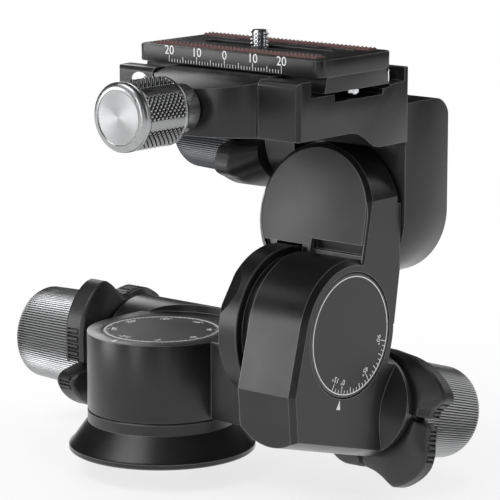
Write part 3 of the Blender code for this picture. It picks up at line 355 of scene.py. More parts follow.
def plain(name, colour, roughness, metallic=0.0):
    made = bpy.data.materials.new(name)
    made.use_nodes = True
    made.diffuse_color = (*colour, 1)
    shade(made.node_tree,
          {"Base Color": (*colour, 1), "Roughness": roughness, "Metallic": metallic})
    return made


def grain(tree, scale, detail, stretch=None):
    # Noise in the object's own metres, stretched along an axis where asked.
    place = add(tree, "ShaderNodeTexCoord", {})["Object"]
    if stretch:
        place = add(tree, "ShaderNodeMapping", {"Scale": stretch, "Vector": place})["Vector"]
    return add(tree, "ShaderNodeTexNoise",
               {"Scale": scale, "Detail": detail, "Vector": place})["Fac"]


def ramp(tree, source, low, high, start=0.3, end=0.7):
    return add(tree, "ShaderNodeMapRange", {
        "Value": source, "From Min": start, "From Max": end, "To Min": low,
        "To Max": high})["Result"]


def tint(tree, source, first, second, start=0.3, end=0.7):
    node = tree.nodes.new("ShaderNodeValToRGB")
    for stop, place, colour in zip(node.color_ramp.elements, (start, end), (first, second)):
        stop.position = place
        stop.color = (*colour, 1)
    feed(tree, node, {"Fac": source})
    return node.outputs["Color"]


def scaled(colour, times, plus=0.0):
    return tuple(c * times + plus for c in colour)


def bump(tree, source, strength, depth):
    shade(tree, {"Normal": add(tree, "ShaderNodeBump", {
        "Height": source, "Strength": strength, "Distance": depth})["Normal"]})


def varied(made, source, tones, low, high, relief=0.0, depth=0.0, span=(0.3, 0.7), cloud=None):
    # One pattern gives the tone, the gloss and the relief. A cloud may give the tone instead.
    tree = made.node_tree
    shade(tree, {"Base Color": tint(tree, cloud or source, *tones, *span),
                 "Roughness": ramp(tree, source, low, high, *span)})
    if relief:
        bump(tree, source, relief, depth)
    return made


def worn_edges(tree):
    # Rises towards 1 along the piece's sharp edges, where a lighter tone is painted in as an edge
    # highlight.
    rounded = tree.nodes.new("ShaderNodeBevel")
    rounded.samples = 6
    feed(tree, rounded, {"Radius": EDGE_HIGHLIGHT_WIDTH * MM})
    sharp = add(tree, "ShaderNodeNewGeometry", {})["Normal"]
    same = add(tree, "ShaderNodeVectorMath", {0: rounded.outputs["Normal"], 1: sharp},
               "DOT_PRODUCT")["Value"]
    return ramp(tree, same, 1.0, 0.0, 0.8, 0.995)


def anodised(name, colour, roughness):
    # Bead-blasted and anodised aluminium: fine grain, faint cloudiness and a painted highlight
    # along the sharp edges.
    made = plain(name, colour, roughness)
    tree = made.node_tree
    fine = grain(tree, 4200, 4)
    cloud = grain(tree, 55, 3)
    bump(tree, fine, 0.25, 0.00004)
    clouded = tint(tree, cloud, colour, scaled(colour, 1.35, 0.004))
    rough = sums(tree, "ADD", ramp(tree, cloud, roughness - 0.04, roughness + 0.04),
                 ramp(tree, fine, -0.03, 0.03))
    shade(tree, {"Specular IOR Level": 0.42, "Roughness": rough,
                 # The sharp edges take a lighter tone: a painted highlight.
                 "Base Color": overlaid(tree, worn_edges(tree), clouded, EDGE_HIGHLIGHT_TONE)})
    return made


def metal(name, colour, roughness, stretch=None):
    # Bare or polished metal with fine machining lines.
    made = plain(name, colour, roughness, 1.0)
    return varied(made, grain(made.node_tree, 900, 3, stretch), (scaled(colour, 0.86), colour),
                  roughness - 0.05, roughness + 0.08, 0.12, 0.00003)


def knurled(name, colour, roughness, radius, slope, start, stop):
    # Machined metal with painted shade in the knurl's grooves, round the piece's own Z axis.
    made = metal(name, colour, roughness, ALONG_Z)
    tree = made.node_tree
    place = add(tree, "ShaderNodeTexCoord", {})["Object"]
    along = add(tree, "ShaderNodeSeparateXYZ", {"Vector": place})["Z"]
    flat = add(tree, "ShaderNodeVectorMath", {0: place, 1: (1, 1, 0)}, "MULTIPLY")["Vector"]
    out = add(tree, "ShaderNodeVectorMath", {0: flat}, "LENGTH")["Value"]
    level = radius + slope * start
    # Painted shade: the deeper a point lies in a knurl groove, the darker its colour.
    groove = ramp(tree, sums(tree, "MULTIPLY_ADD", along, slope, out), 1.0, 0.0,
                  (level - GROOVE_SHADE_LOW) * MM, (level - GROOVE_SHADE_HIGH) * MM)
    inside = sums(tree, "MULTIPLY", sums(tree, "GREATER_THAN", along, start * MM),
                  sums(tree, "LESS_THAN", along, stop * MM))
    lines = tree.nodes["Principled BSDF"].inputs["Base Color"].links[0].from_socket
    dark = overlaid(tree, sums(tree, "MULTIPLY", groove, inside), lines, GROOVE_SHADE_TONE)
    shade(tree, {"Base Color": dark})
    return made


def turned_face(name, colour, roughness):
    # A lathe-turned face: fine rings round the piece's own Z axis.
    made = plain(name, colour, roughness, 1.0)
    tree = made.node_tree
    rings = tree.nodes.new("ShaderNodeTexWave")
    rings.wave_type = "RINGS"
    rings.rings_direction = "Z"
    feed(tree, rings, {"Scale": 1100, "Distortion": 0.4,
                       "Vector": add(tree, "ShaderNodeTexCoord", {})["Object"]})
    tangent = tree.nodes.new("ShaderNodeTangent")
    tangent.direction_type = "RADIAL"
    tangent.axis = "Z"
    shade(tree, {"Anisotropic": 0.85, "Tangent": tangent.outputs["Tangent"]})
    return varied(made, rings.outputs["Fac"], (scaled(colour, 0.8), colour), roughness,
                  roughness + 0.08, 0.15, 0.00003, (0, 1))


def moulded(name, colour, roughness):
    # Moulded nylon: an even spark-eroded grain.
    made = plain(name, colour, roughness)
    pores = grain(made.node_tree, 2600, 2)
    return varied(made, pores, (colour, scaled(colour, 1.6, 0.004)), roughness - 0.06,
                  roughness + 0.08, 0.35, 0.00006, cloud=grain(made.node_tree, 90, 2))


def rubber(name, colour):
    made = plain(name, colour, 0.75)
    return varied(made, grain(made.node_tree, 1500, 4), (colour, scaled(colour, 1.5, 0.01)),
                  0.65, 0.85, 0.3, 0.00005)


def ink(name, colour):
    # Engraved and filled marks: the fill is slightly uneven.
    made = plain(name, colour, 0.5)
    return varied(made, grain(made.node_tree, 2200, 3), (scaled(colour, 0.88), colour), 0.42, 0.6)


# Each look with its material slot
BLACK = anodised("black_anodised_fine", (0.0055, 0.0055, 0.0057), 0.32), "black_anodised"
GREY = anodised("grey_anodised_fine", (0.03, 0.03, 0.031), 0.42), "grey_anodised"
DIAL = anodised("dial_black", (0.012, 0.012, 0.0125), 0.38), "black_anodised"
PLASTIC = moulded("moulded_black", (0.008, 0.008, 0.0085), 0.42), "black_plastic"
SILVER = metal("bare_silver", SILVER_TONE, 0.34, ALONG_Z), "steel"
TURNED = turned_face("turned_silver", SILVER_TONE, 0.34), "silver_aluminium"
STEEL = metal("polished_steel_fine", (0.68, 0.69, 0.7), 0.2), "steel"
BRONZE = metal("bronze_fine", (0.5, 0.3, 0.12), 0.35), "bronze"
RUBBER = rubber("ribbed_rubber", (0.085, 0.036, 0.034)), "red_brown_rubber"
WHITE = ink("white_fill", (0.82, 0.82, 0.82)), "black_anodised"


# Mesh tools
def link(name, mesh):
    obj = bpy.data.objects.new(name, mesh)
    bpy.context.scene.collection.objects.link(obj)
    return obj


def from_bmesh(bm, name, place):
    mesh = bpy.data.meshes.new(name)
    bm.to_mesh(mesh)
    bm.free()
    obj = link(name, mesh)
    obj.matrix_world = place
    return obj


def applied(obj):
    bpy.context.view_layer.update()
    graph = bpy.context.evaluated_depsgraph_get()
    mesh = bpy.data.meshes.new_from_object(obj.evaluated_get(graph))
    bm = bmesh.new()
    bm.from_mesh(mesh)
    bmesh.ops.remove_doubles(bm, verts=bm.verts, dist=MERGE * MM)
    bmesh.ops.recalc_face_normals(bm, faces=bm.faces)
    bpy.data.meshes.remove(mesh)
    name = obj.name
    place = obj.matrix_world.copy()
    bpy.data.objects.remove(obj, do_unlink=True)
    return from_bmesh(bm, name, place)


def turned(name, profile, place, steps=STEPS):
    mesh = bpy.data.meshes.new(name)
    points = [(radius * MM, 0, along * MM) for radius, along in profile]
    count = len(points)
    mesh.from_pydata(points, [(i, (i + 1) % count) for i in range(count)], [])
    obj = link(name, mesh)
    screw = obj.modifiers.new("turn", "SCREW")
    screw.axis = "Z"
    screw.steps = steps
    screw.render_steps = steps
    screw.use_merge_vertices = True
    screw.merge_threshold = MERGE * MM
    obj.matrix_world = place
    return applied(obj)


def slab(name, outlines, low, high, place):
    curve = bpy.data.curves.new(name, "CURVE")
    curve.dimensions = "2D"
    curve.fill_mode = "BOTH"
    curve.extrude = (high - low) / 2 * MM
    for outline in outlines:
        spline = curve.splines.new("POLY")
        spline.points.add(len(outline) - 1)
        for point, (across, up) in zip(spline.points, outline):
            point.co = (across * MM, up * MM, 0, 1)
        spline.use_cyclic_u = True
    obj = link(name, curve)
    obj.matrix_world = place @ moved(0, 0, (low + high) / 2)
    return applied(obj)


def box(name, low, high):
    bm = bmesh.new()
    bmesh.ops.create_cube(bm, size=1)
    bmesh.ops.scale(bm, vec=[(b - a) * MM for a, b in zip(low, high)], verts=bm.verts)
    return from_bmesh(bm, name, moved(*((a + b) / 2 for a, b in zip(low, high))))


def rod(name, radius, low, high, place, steps=STEPS):
    bm = bmesh.new()
    bmesh.ops.create_cone(bm, cap_ends=True, segments=steps, radius1=radius * MM,
                          radius2=radius * MM, depth=(high - low) * MM)
    return from_bmesh(bm, name, place @ moved(0, 0, (low + high) / 2))


def combined(obj, tools, operation):
    for tool in tools:
        bpy.context.view_layer.update()
        change = obj.modifiers.new("change", "BOOLEAN")
        change.operation = operation
        change.solver = "EXACT"
        change.object = tool
        obj = applied(obj)
        bpy.data.objects.remove(tool, do_unlink=True)
    return obj


def cut(obj, *tools):
    return combined(obj, tools, "DIFFERENCE")


def join(obj, *tools):
    return combined(obj, tools, "UNION")


def common(obj, *tools):
    return combined(obj, tools, "INTERSECT")


def bevelled(obj, width, angle, segments):
    # Flat areas become single faces first, so that an edge can be as wide as it is asked to be.
    bm = bmesh.new()
    bm.from_mesh(obj.data)
    bmesh.ops.dissolve_limit(bm, angle_limit=radians(0.3), verts=bm.verts, edges=bm.edges)
    bm.to_mesh(obj.data)
    bm.free()
    bevel = obj.modifiers.new("bevel", "BEVEL")
    bevel.width = width * MM
    bevel.segments = segments
    bevel.limit_method = "ANGLE"
    bevel.angle_limit = radians(angle)
    bevel.use_clamp_overlap = True
    return applied(obj)


def dress(obj, body, finish, node=None, angle=28):
    # Gives a finished piece its material and its body, and hides the CAD node that it stands for.
    look, slot = finish
    obj.data.materials.clear()
    obj.data.materials.append(look)
    for face in obj.data.polygons:
        face.material_index = 0
        face.use_smooth = True
    obj.data.set_sharp_from_angle(angle=radians(angle))
    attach(obj, body)
    if node:
        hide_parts(node)


def polar(radius, angle):
    return radius * cos(radians(angle)), radius * sin(radians(angle))


def arc(radius, start, end, count=48, centre=(0, 0)):
    points = (polar(radius, start + (end - start) * i / count) for i in range(count + 1))
    return [(centre[0] + x, centre[1] + y) for x, y in points]


def ring(along, radius, around):
    return [(*polar(radius, 360 * i / around), along) for i in range(around)]


def skin(name, rows, place, whole=True):
    # A closed skin over rows of points: whole rings, or arcs whose two ends are filled.
    bm = bmesh.new()
    grid = [[bm.verts.new([c * MM for c in p]) for p in row] for row in rows]
    for first, second in zip(grid, grid[1:] + grid[:1]):
        for i in range(0 if whole else 1, len(first)):
            bm.faces.new((first[i - 1], first[i], second[i], second[i - 1]))
    if not whole:
        bm.faces.new([row[0] for row in grid])
        bm.faces.new([row[-1] for row in reversed(grid)])
    bmesh.ops.recalc_face_normals(bm, faces=bm.faces)
    return from_bmesh(bm, name, place)


def mark(piece, body):
    dress(piece, body, WHITE)


def square(half):
    return [[(-half, -half), (half, -half), (half, half), (-half, half)]]


def bars(name, shapes, place):
    # Flat marks: a list of small outlines, all in one piece.
    return slab(name, shapes, -MARK_T / 2, MARK_T, place)


def bar(centre, angle, length, width):
    # One tick that runs along an angle, as four corners.
    along = Vector(polar(length / 2, angle))
    across = Vector(polar(width / 2, angle + 90))
    middle = Vector(centre)
    return [tuple(middle + s * along + t * across)
            for s, t in ((-1, -1), (1, -1), (1, 1), (-1, 1))]


def lettering(name, words, place):
    # Joins several short numbers, each (text, x, y, angle, size), into one piece.
    bm = bmesh.new()
    for index, (text, across, up, angle, size) in enumerate(words):
        curve = bpy.data.curves.new(name + str(index), "FONT")
        curve.body = text
        curve.size = size * MM
        curve.align_x = "CENTER"
        curve.align_y = "CENTER"
        curve.extrude = MARK_T / 2 * MM
        curve.resolution_u = 3
        obj = link(name + str(index), curve)
        obj.matrix_world = (place @ moved(across, up, 0)
                            @ Matrix.Rotation(radians(angle), 4, "Z"))
        obj = applied(obj)
        obj.data.transform(obj.matrix_world)
        bm.from_mesh(obj.data)
        bpy.data.objects.remove(obj, do_unlink=True)
    return from_bmesh(bm, name, WORLD)


def dial_marks(name, body, face, radius, width, ticks, words, letter_r):
    # Ticks, each (angle, length), reach out to one radius. Each word is (text, angle).
    shapes = [bar(polar(radius - length / 2, angle), angle, length, width)
              for angle, length in ticks]
    mark(bars(name + "_ticks", shapes, face), body)
    numbers = [(text, *polar(letter_r, angle), angle - 90, DIAL_LETTER) for text, angle in words]
    mark(lettering(name + "_numbers", numbers, face), body)


def build_foot():
    profile = [
        (FOOT_BORE, 0), (FOOT_R - 0.4, 0), (FOOT_R, 0.4), (FOOT_R, FOOT_RIM - 0.3),
        (FOOT_R - 0.5, FOOT_RIM), (FOOT_R - 0.9, FOOT_RIM + 0.35),
        (PAN_R + 0.5, FOOT_NECK_Z - 0.6), (PAN_R + 0.05, FOOT_NECK_Z - 0.1),
        (PAN_R, FOOT_NECK_Z + 0.3), (PAN_R, FOOT_TOP - 0.35), (PAN_R - 0.35, FOOT_TOP),
        (FOOT_BORE, FOOT_TOP)]
    dress(turned("foot_shell", profile, WORLD, FINE), "base", BLACK, "base_flange")


def dial_face(name, low, high, place):
    # A flat dial with a fine groove inside its edge.
    groove = DIAL_R - 0.45
    profile = [
        (0, low), (DIAL_R, low), (DIAL_R, high - 0.35), (DIAL_R - 0.2, high - 0.1),
        (groove, high), (groove - 0.12, high - 0.25), (groove - 0.3, high - 0.25),
        (groove - 0.42, high), (0, high)]
    return turned(name, profile, place, FINE)


def ring_mark(name, radius, width, place):
    inner, outer, low = radius - width / 2, radius + width / 2, -MARK_T / 2
    profile = [(inner, low), (outer, low), (outer, MARK_T), (inner, MARK_T)]
    return turned(name, profile, place, FINE)


def build_pan():
    outline = arc(PAN_R, 180, 352, 110) + [
        (CHEEK_X1, PAN_FRONT_Y), (CHEEK_X1, PAN_ARM_Y), (PAN_TUBE_X / 2, PAN_ARM_Y),
        (-PAN_R, PAN_SIDE_Y)]
    body = bevelled(slab("pan_shell", [outline], PAN_FLOOR, PAN_TOP, WORLD), 0.35, 60, 2)
    tube = turned(
        "tube",
        [(0, -CHEEK_X1), (PAN_TUBE_R, -CHEEK_X1), (PAN_TUBE_R, -PAN_TUBE_X - 0.6),
         (PAN_TUBE_R - 0.6, -PAN_TUBE_X), (0, -PAN_TUBE_X)],
        PAN_WORM_FRAME)
    end = degrees(acos(PAN_FRONT_Y / CHEEK_R))
    cheek = slab(
        "cheek",
        [[(PAN_FRONT_Y, CHEEK_FOOT), (CHEEK_REAR, CHEEK_FOOT), (CHEEK_REAR, TILT_Z)]
         + arc(CHEEK_R, 0, end, centre=(0, TILT_Z))],
        CHEEK_X0, CHEEK_X1, YZ_FRAME)
    body = cut(
        join(body, tube, cheek),
        rod("recess", RECESS_R, PAN_TOP, PAN_TOP + FAR, WORLD, FINE),
        box("floor", (-FAR, -FAR, PAN_FLOOR - FAR), (FAR, FAR, PAN_FLOOR)),
        rod("dial_seat", DIAL_R + GAP, PAN_TOP - DIAL_DEEP - GAP, PAN_TOP + OVER, WORLD, FINE),
        rod("room", PAN_ROOM_R, PAN_FLOOR - OVER, PAN_ROOM_TOP, WORLD, 96),
        rod("bore", PAN_BORE, PAN_FLOOR, PAN_TOP, WORLD, 64),
        rod("worm_room", WORM_ROOM_R, -WORM_ROOM_T, -PAN_TUBE_X + OVER, PAN_WORM_FRAME, 64))
    dress(body, "pan_frame", BLACK, "pan_housing")
    dial = dial_face("pan_dial_face", PAN_TOP - DIAL_DEEP + GAP, PAN_TOP, WORLD)
    dress(dial, "base", DIAL, "pan_dial")
    top = moved(0, 0, PAN_TOP + MARK_LIFT)
    mark(ring_mark("pan_dial_ring", 19.85, 0.3, top), "base")
    ticks = [(5 * step + 262, 1.5 if step % 9 == 0 else 1.0 if step % 3 == 0 else 0.6)
             for step in range(72)]
    words = [(str(45 * step) + "°", 45 * step + 307) for step in range(8)]
    dial_marks("pan_dial", "base", top, 19.6, 0.18, ticks, words, letter_r=16.4)
    mark(bars("pan_index", [[(-0.4, -21.6), (-1.3, -24.6), (0.5, -24.6)]], top), "pan_frame")
    disc = turned(
        "carrier_disc",
        [(AXLE_R, DISC_X0), (DISC_R - 1.4, DISC_X0), (DISC_R, DISC_X0 + 1.4),
         (DISC_R, DISC_X1 - 0.3), (DISC_R - 0.3, DISC_X1), (SPIGOT_R, DISC_X1),
         (SPIGOT_R, ROLL_X0 - GAP), (AXLE_R, ROLL_X0 - GAP)],
        X_FRAME, FINE)
    flat = frame_at(DISC_FLAT, (-0.35, -0.82, 0.58), (0, 0.58, 0.82))
    disc = cut(disc, slab("flat", square(PAN_TOP), 0, PAN_TOP, flat))
    dress(disc, "pan_frame", BLACK, "tilt_carrier_disc", 12)


def roll_shoulder(right):
    # What is cut away beside the worm tube, so that a cone is left where it leaves the body.
    flare = (TUBE_R - right) / (SHOULDER_END - SHOULDER_START)
    cone = turned(
        "cone",
        [(0, SHOULDER_START - OVER), (right - flare * OVER, SHOULDER_START - OVER),
         (TUBE_R + flare * OVER, SHOULDER_END + OVER), (0, SHOULDER_END + OVER)],
        TILT_WORM_FRAME)
    beside = right + 0.02
    flank = slab("flank", [[(beside, -FAR), (FAR, -FAR), (FAR, FAR), (beside, FAR)]],
                 10, SHOULDER_END + OVER / 2, TILT_WORM_FRAME)
    return cut(flank, cone)


def build_drum(left, right):
    # The drum over the worm tube, trimmed to the tube's round underside and flat rear.
    side = arc(ROLL_R, 0, 180, 96) + [
        (-ROLL_R, -FACET_DROP), (-FACET_FOOT, -WORM_DROP - TUBE_R), (ROLL_R, -WORM_DROP - TUBE_R)]
    body = slab("roll_shell", [side], ROLL_X0 - FACET_FOOT, ROLL_X1, ROLL_FRAME)
    body = bevelled(body, ROLL_CHAMFER, 75, 1)
    body = cut(body, box("left", (-ROLL_X1, -ROLL_X1, -ROLL_X1), (ROLL_X0, ROLL_X1, ROLL_X1)))
    sweep = arc(TUBE_R, degrees(acos(right / TUBE_R)), degrees(acos(left / TUBE_R)), 64)
    rise = 60
    sole = slab("sole", [[(left - OVER, -rise), (right + OVER, -rise),
                          (right + OVER, sweep[0][1])] + sweep + [(left - OVER, sweep[-1][1])]],
                -ROLL_R - OVER, rise, TILT_WORM_FRAME)
    rear = box("rear", (-rise, TILT_TUBE_CUT, -rise), (rise, rise, 0))
    rear.matrix_world = (moved(*TILT_CENTRE) @ Matrix.Rotation(-TILT_REST, 4, "X")
                         @ moved(TILT_WORM_X, (TILT_TUBE_CUT + rise) / 2, -rise / 2 - 12))
    return cut(common(body, sole), rear)


def build_roll():
    right = ROLL_X1 - TILT_WORM_X
    body = build_drum(ROLL_X0 - TILT_WORM_X, right)
    neck = turned(
        "neck",
        [(0, 18), (TUBE_R, 18), (TUBE_R, TILT_TUBE_END - 3.4), (TUBE_R - 0.5, TILT_TUBE_END - 2.9),
         (TUBE_R - 0.9, TILT_TUBE_END - 0.5), (TUBE_R - 1.4, TILT_TUBE_END), (0, TILT_TUBE_END)],
        TILT_WORM_FRAME)
    shoulder = roll_shoulder(right)
    arm = slab(
        "arm",
        [[(ARM_LOW_Y, TILT_Z), (ARM_REAR_LOW, TILT_Z), (ARM_REAR, ARM_WAIST),
          (ARM_REAR, ARM_TOP), (ARM_LOW_Y, ARM_TOP)]],
        ROLL_X0, ROLL_X1, YZ_FRAME)
    xz = frame_at((HEAD_X, 0, HEAD_Z), (0, -1, 0), (1, 0, 0))
    knee = slab("ring", [arc(ARM_R, 0, 270, 140) + [(ARM_R, -ARM_R)]], -ARM_REAR, OVER, xz)
    knee = cut(knee, slab("front", square(FAR), 0, FAR, LEAN),
               box("right", (ROLL_X1, -FAR, -FAR), (FAR, FAR, FAR)))
    knee = bevelled(knee, ARM_CHAMFER, 50, 1)
    face = [arc(CAP_R, 0, 270, 140) + [(CAP_R, -CAP_R)]]
    seat = [arc(CAP_R + 0.1, 0, 270, 140) + [(CAP_R + 0.1, -CAP_R - OVER)]]
    knee = cut(knee, slab("cap_seat", seat, -CAP_T - GAP, OVER, LEAN))
    arm = cut(arm, slab("front", square(FAR), -ARM_SETBACK, FAR, LEAN))
    body = cut(
        join(body, neck, arm, knee),
        rod("carrier", DISC_R + 0.8, DISC_X0 - OVER, DISC_X1 + 0.4, X_FRAME, FINE),
        rod("spigot", SPIGOT_R + 0.4, DISC_X0 - OVER, ROLL_X0 - GAP / 2, X_FRAME, FINE),
        box("notch", (NOTCH_X0, NOTCH_Y0, NOTCH_Z0), (NOTCH_X1, NOTCH_Y1, NOTCH_Z1)),
        rod("axle_bore", AXLE_R + 0.1, ROLL_X0 - OVER, ROLL_X1, X_FRAME, 64),
        rod("wheel_room", WHEEL_ROOM_R, WHEEL_ROOM_X, ROLL_X1, X_FRAME, 96),
        rod("dial_seat", DIAL_R + GAP, ROLL_X1 - DIAL_DEEP - GAP, ROLL_X1 + OVER, X_FRAME, FINE),
        rod("worm_room", WORM_ROOM_R, -WORM_ROOM_T, TILT_TUBE_END + OVER, TILT_WORM_FRAME, 64),
        rod("head_axle", AXLE_R, 16, ARM_REAR + OVER, HEAD_FRAME, 64), shoulder)
    dress(body, "roll_frame", BLACK, "roll_housing", 12)
    cap = bevelled(slab("arm_cap_face", face, -CAP_T, 0, LEAN), 0.25, 60, 2)
    cap = cut(cap, rod("clear", DISC_R + 0.8, 20, ROLL_X0, X_FRAME, FINE),
              rod("drum", ROLL_R + GAP, ROLL_X0 - GAP, ROLL_X1 + OVER, X_FRAME, FINE),
              box("notch", (NOTCH_X0, NOTCH_Y0, 70), (FAR, NOTCH_Y1, NOTCH_Z1)))
    dress(cap, "roll_frame", GREY, "arm_cap")
    dial = dial_face("tilt_dial_face", ROLL_X1 - DIAL_DEEP, ROLL_X1, X_FRAME)
    dress(dial, "pan_frame", DIAL, "tilt_dial")
    # On the dial, local X is across (+Y in the world) and local Y is up.
    flat = frame_at((ROLL_X1 + MARK_LIFT, 0, TILT_Z), (1, 0, 0), (0, 1, 0))
    mark(ring_mark("tilt_dial_ring", 19.6, 0.32, flat), "pan_frame")
    named = (-15, 0, 45, 90)
    ticks = [(reading - 105, 2.6 if reading in named else 2.0 if reading % 15 == 0 else 1.2)
             for reading in range(-15, 95, 5)]
    words = [(str(abs(reading)) + "°", reading - 105) for reading in named]
    dial_marks("tilt_dial", "pan_frame", flat, 19.4, 0.24, ticks, words, letter_r=15.4)
    base = Vector(polar(24.7, -105))
    aside = Vector(polar(1.05, -15))
    arrow = [[polar(21.5, -105), tuple(base + aside), tuple(base - aside)]]
    mark(bars("tilt_index", arrow, flat), "roll_frame")


def build_head():
    xz = frame_at((0, 0, 0), (0, -1, 0), (1, 0, 0))
    outline = arc((BLOCK_X1 - BLOCK_X0) / 2, 180, 360, 96, (HEAD_X, HEAD_Z)) + [
        (BLOCK_X1, BLOCK_TOP), (BLOCK_X0, BLOCK_TOP)]
    block = bevelled(slab("block_shell", [outline], -BLOCK_Y1, -BLOCK_Y0, xz), 0.5, 60, 2)
    end = HEAD_TUBE_END
    tube = turned(
        "tube",
        [(0, end - HEAD_TUBE_LEN), (TUBE_R, end - HEAD_TUBE_LEN), (TUBE_R, end - 1.2),
         (TUBE_R - 1.2, end), (0, end)],
        HEAD_WORM_FRAME)
    corner = (0, BLOCK_Y1 - BLOCK_ROUND, BLOCK_TOP - BLOCK_ROUND)
    rounding = cut(
        box("rounding", (-FAR, corner[1], corner[2]), (FAR, corner[1] + FAR, corner[2] + FAR)),
        rod("round", BLOCK_ROUND, -FAR - OVER, FAR + OVER,
            frame_at(corner, (1, 0, 0), (0, 1, 0)), 96))
    body = cut(
        join(block, tube),
        box("front", (-FAR, 5, KEEL_Z - GAP), (FAR, BLOCK_Y0, FAR)),
        rod("ring_room", ARM_R + 0.4, 0, BLOCK_Y0, HEAD_FRAME, FINE),
        rounding,
        rod("room", WHEEL_ROOM_R, BLOCK_Y0 - OVER, BLOCK_Y0 + WHEEL_ROOM_T, HEAD_FRAME, 96),
        rod("worm_room", WORM_ROOM_R, -WORM_ROOM_T, end + OVER, HEAD_WORM_FRAME, 64))
    dress(body, "head_frame", BLACK, "head_block", 25)


def clamp_profile():
    # The end profile, with the S-curve of its underside and rounded wing.
    under = [(-3.7, 119.3), (0.2, 118.6), (3.6, 116.9), (6.4, 114.9), (8.8, 113.6), (11.6, 113.1)]
    return [(WING_Y, CLAMP_BOTTOM)] + under + [
        (REAR_Y, KEEL_Z), (REAR_Y, CLAMP_TOP), (REAR_WALL_Y, CLAMP_TOP), (REAR_WALL_Y, 133.6),
        (17.0, 133.2), (16.6, 132.4), (13.0, 132.4), (13.0, FLOOR_Z), (-12.0, FLOOR_Z),
        (-12.0, LEDGE_Z), (WING_WALL_Y, LEDGE_Z), (WING_WALL_Y, CLAMP_TOP)
        ] + arc(2.0, 90, 180, 6, (WING_Y + 2.0, CLAMP_TOP - 2.0))


def build_clamp():
    body = slab("clamp_shell", [clamp_profile()], CLAMP_X0, CLAMP_X1, YZ_FRAME)
    body = bevelled(body, 0.3, 50, 2)
    corner = CLAMP_CORNER
    for low, high, middle in ((CLAMP_X0 - OVER, CLAMP_X0 + corner, CLAMP_X0 + corner),
                              (CLAMP_X1 - corner, CLAMP_X1 + OVER, CLAMP_X1 - corner)):
        edge = box("edge", (low, WING_Y - OVER, 110), (high, WING_Y + corner, 142))
        body = cut(body, cut(edge, rod("keep", corner, 105, 145,
                                       moved(middle, WING_Y + corner, 0), 48)))
    step = PLATE_NECK_Z - 0.4
    lip = slab(
        "lip",
        [[(REAR_WALL_Y + GAP, LEDGE_Z), (PLATE_FOOT_Y + 0.4, LEDGE_Z),
          (PLATE_NECK_Y + 0.4, step), (REAR_WALL_Y + GAP, step)]],
        JAW_X0, JAW_X1 + 10, YZ_FRAME)
    place = moved(PIN_X, PIN_Y, 0)
    body = cut(
        join(body, lip),
        box("jaw_room", (JAW_X0 - GAP, WING_Y - OVER, CLAMP_BOTTOM - OVER),
            (JAW_X1 + GAP, JAW_BACK + 0.7, CLAMP_TOP + OVER)),
        rod("screw_hole", SCREW_HOLE_R, 9, -WING_Y + OVER, FRONT_FRAME, 48),
        rod("eyelet", EYELET_R, -9.6, 9.6, frame_at(EYELET, (-1, 1, 0), (0, 0, 1)), 48),
        rod("pin_hole", PIN_HOLE_R, PIN_FLOOR, CLAMP_TOP + OVER, place, 48),
        rod("scallop", SCALLOP_R, HEAD_TUBE_END - GAP, HEAD_X, HEAD_WORM_FRAME, 96))
    dress(body, "head_frame", BLACK, "clamp_body", 25)
    pin = turned(
        "pin_face",
        [(0, 131), (1.6, 131), (1.6, 136.2), (1.45, 136.9), (1, 137.3), (0.3, 137.4), (0, 137.4)],
        place, 48)
    dress(pin, "pin", STEEL, "safety_pin")
    build_stop_screw()
    build_jaw()


def build_stop_screw():
    # The domed stop screw that hangs under the plate's end, in the clamp's channel.
    head = turned(
        "stop_screw",
        [(0, 0), (2.8, 0), (2.8, 1.1), (2.5, 1.6), (1.9, 1.9), (1.2, 2.05), (1.1, 1.3), (0, 1.3)],
        frame_at((CLAMP_X1 - 3.2, 0, PLATE_FOOT_Z - 0.05), (0, 0, -1), (1, 0, 0)), 64)
    dress(head, "plate", STEEL)


def build_jaw():
    half = (JAW_X1 - JAW_X0) / 2 - GAP
    sag = WING_Y - JAW_NOSE
    nose_r = (half * half + sag * sag) / (2 * sag)
    spread = degrees(acos((nose_r - sag) / nose_r))
    nose = arc(nose_r, 270 - spread, 270 + spread, 64, (KNOB_X, JAW_NOSE + nose_r))
    jaw = slab("jaw_shell", [nose + [(KNOB_X + half, JAW_BACK), (KNOB_X - half, JAW_BACK)]],
               CLAMP_BOTTOM, CLAMP_TOP, WORLD)
    slope = frame_at((0, WING_WALL_Y, CLAMP_TOP), (0, -JAW_SLOPE_SHARE, 1), (1, 0, 0))
    top = slab("top", [[(-FAR, -FAR), (FAR, -FAR), (FAR, 0), (-FAR, 0)]], 0, FAR, slope)
    jaw = bevelled(cut(jaw, top), 0.3, 50, 2)
    lip = slab(
        "jaw_lip",
        [[(JAW_BACK - OVER, LEDGE_Z + GAP), (-PLATE_FOOT_Y - 0.4, LEDGE_Z + GAP),
          (-PLATE_NECK_Y - 0.4, CLAMP_TOP), (JAW_BACK - OVER, CLAMP_TOP)]],
        KNOB_X - half, KNOB_X + half, YZ_FRAME)
    jaw = cut(join(jaw, lip), rod("bore", SCREW_HOLE_R, 15, 45, FRONT_FRAME, 48))
    dress(jaw, "jaw", BLACK, "movable_jaw")
    collar = turned(
        "collar_face",
        [(SCREW_HOLE_R, -JAW_NOSE + GAP), (COLLAR_R - 0.4, -JAW_NOSE + GAP),
         (COLLAR_R, -JAW_NOSE + 0.7), (COLLAR_R, CLAMP_KNOB_T0 - 0.7),
         (COLLAR_R - 0.4, CLAMP_KNOB_T0 - GAP), (SCREW_HOLE_R, CLAMP_KNOB_T0 - GAP)],
        FRONT_FRAME, 96)
    dress(collar, "jaw", SILVER, "clamp_knob_collar")


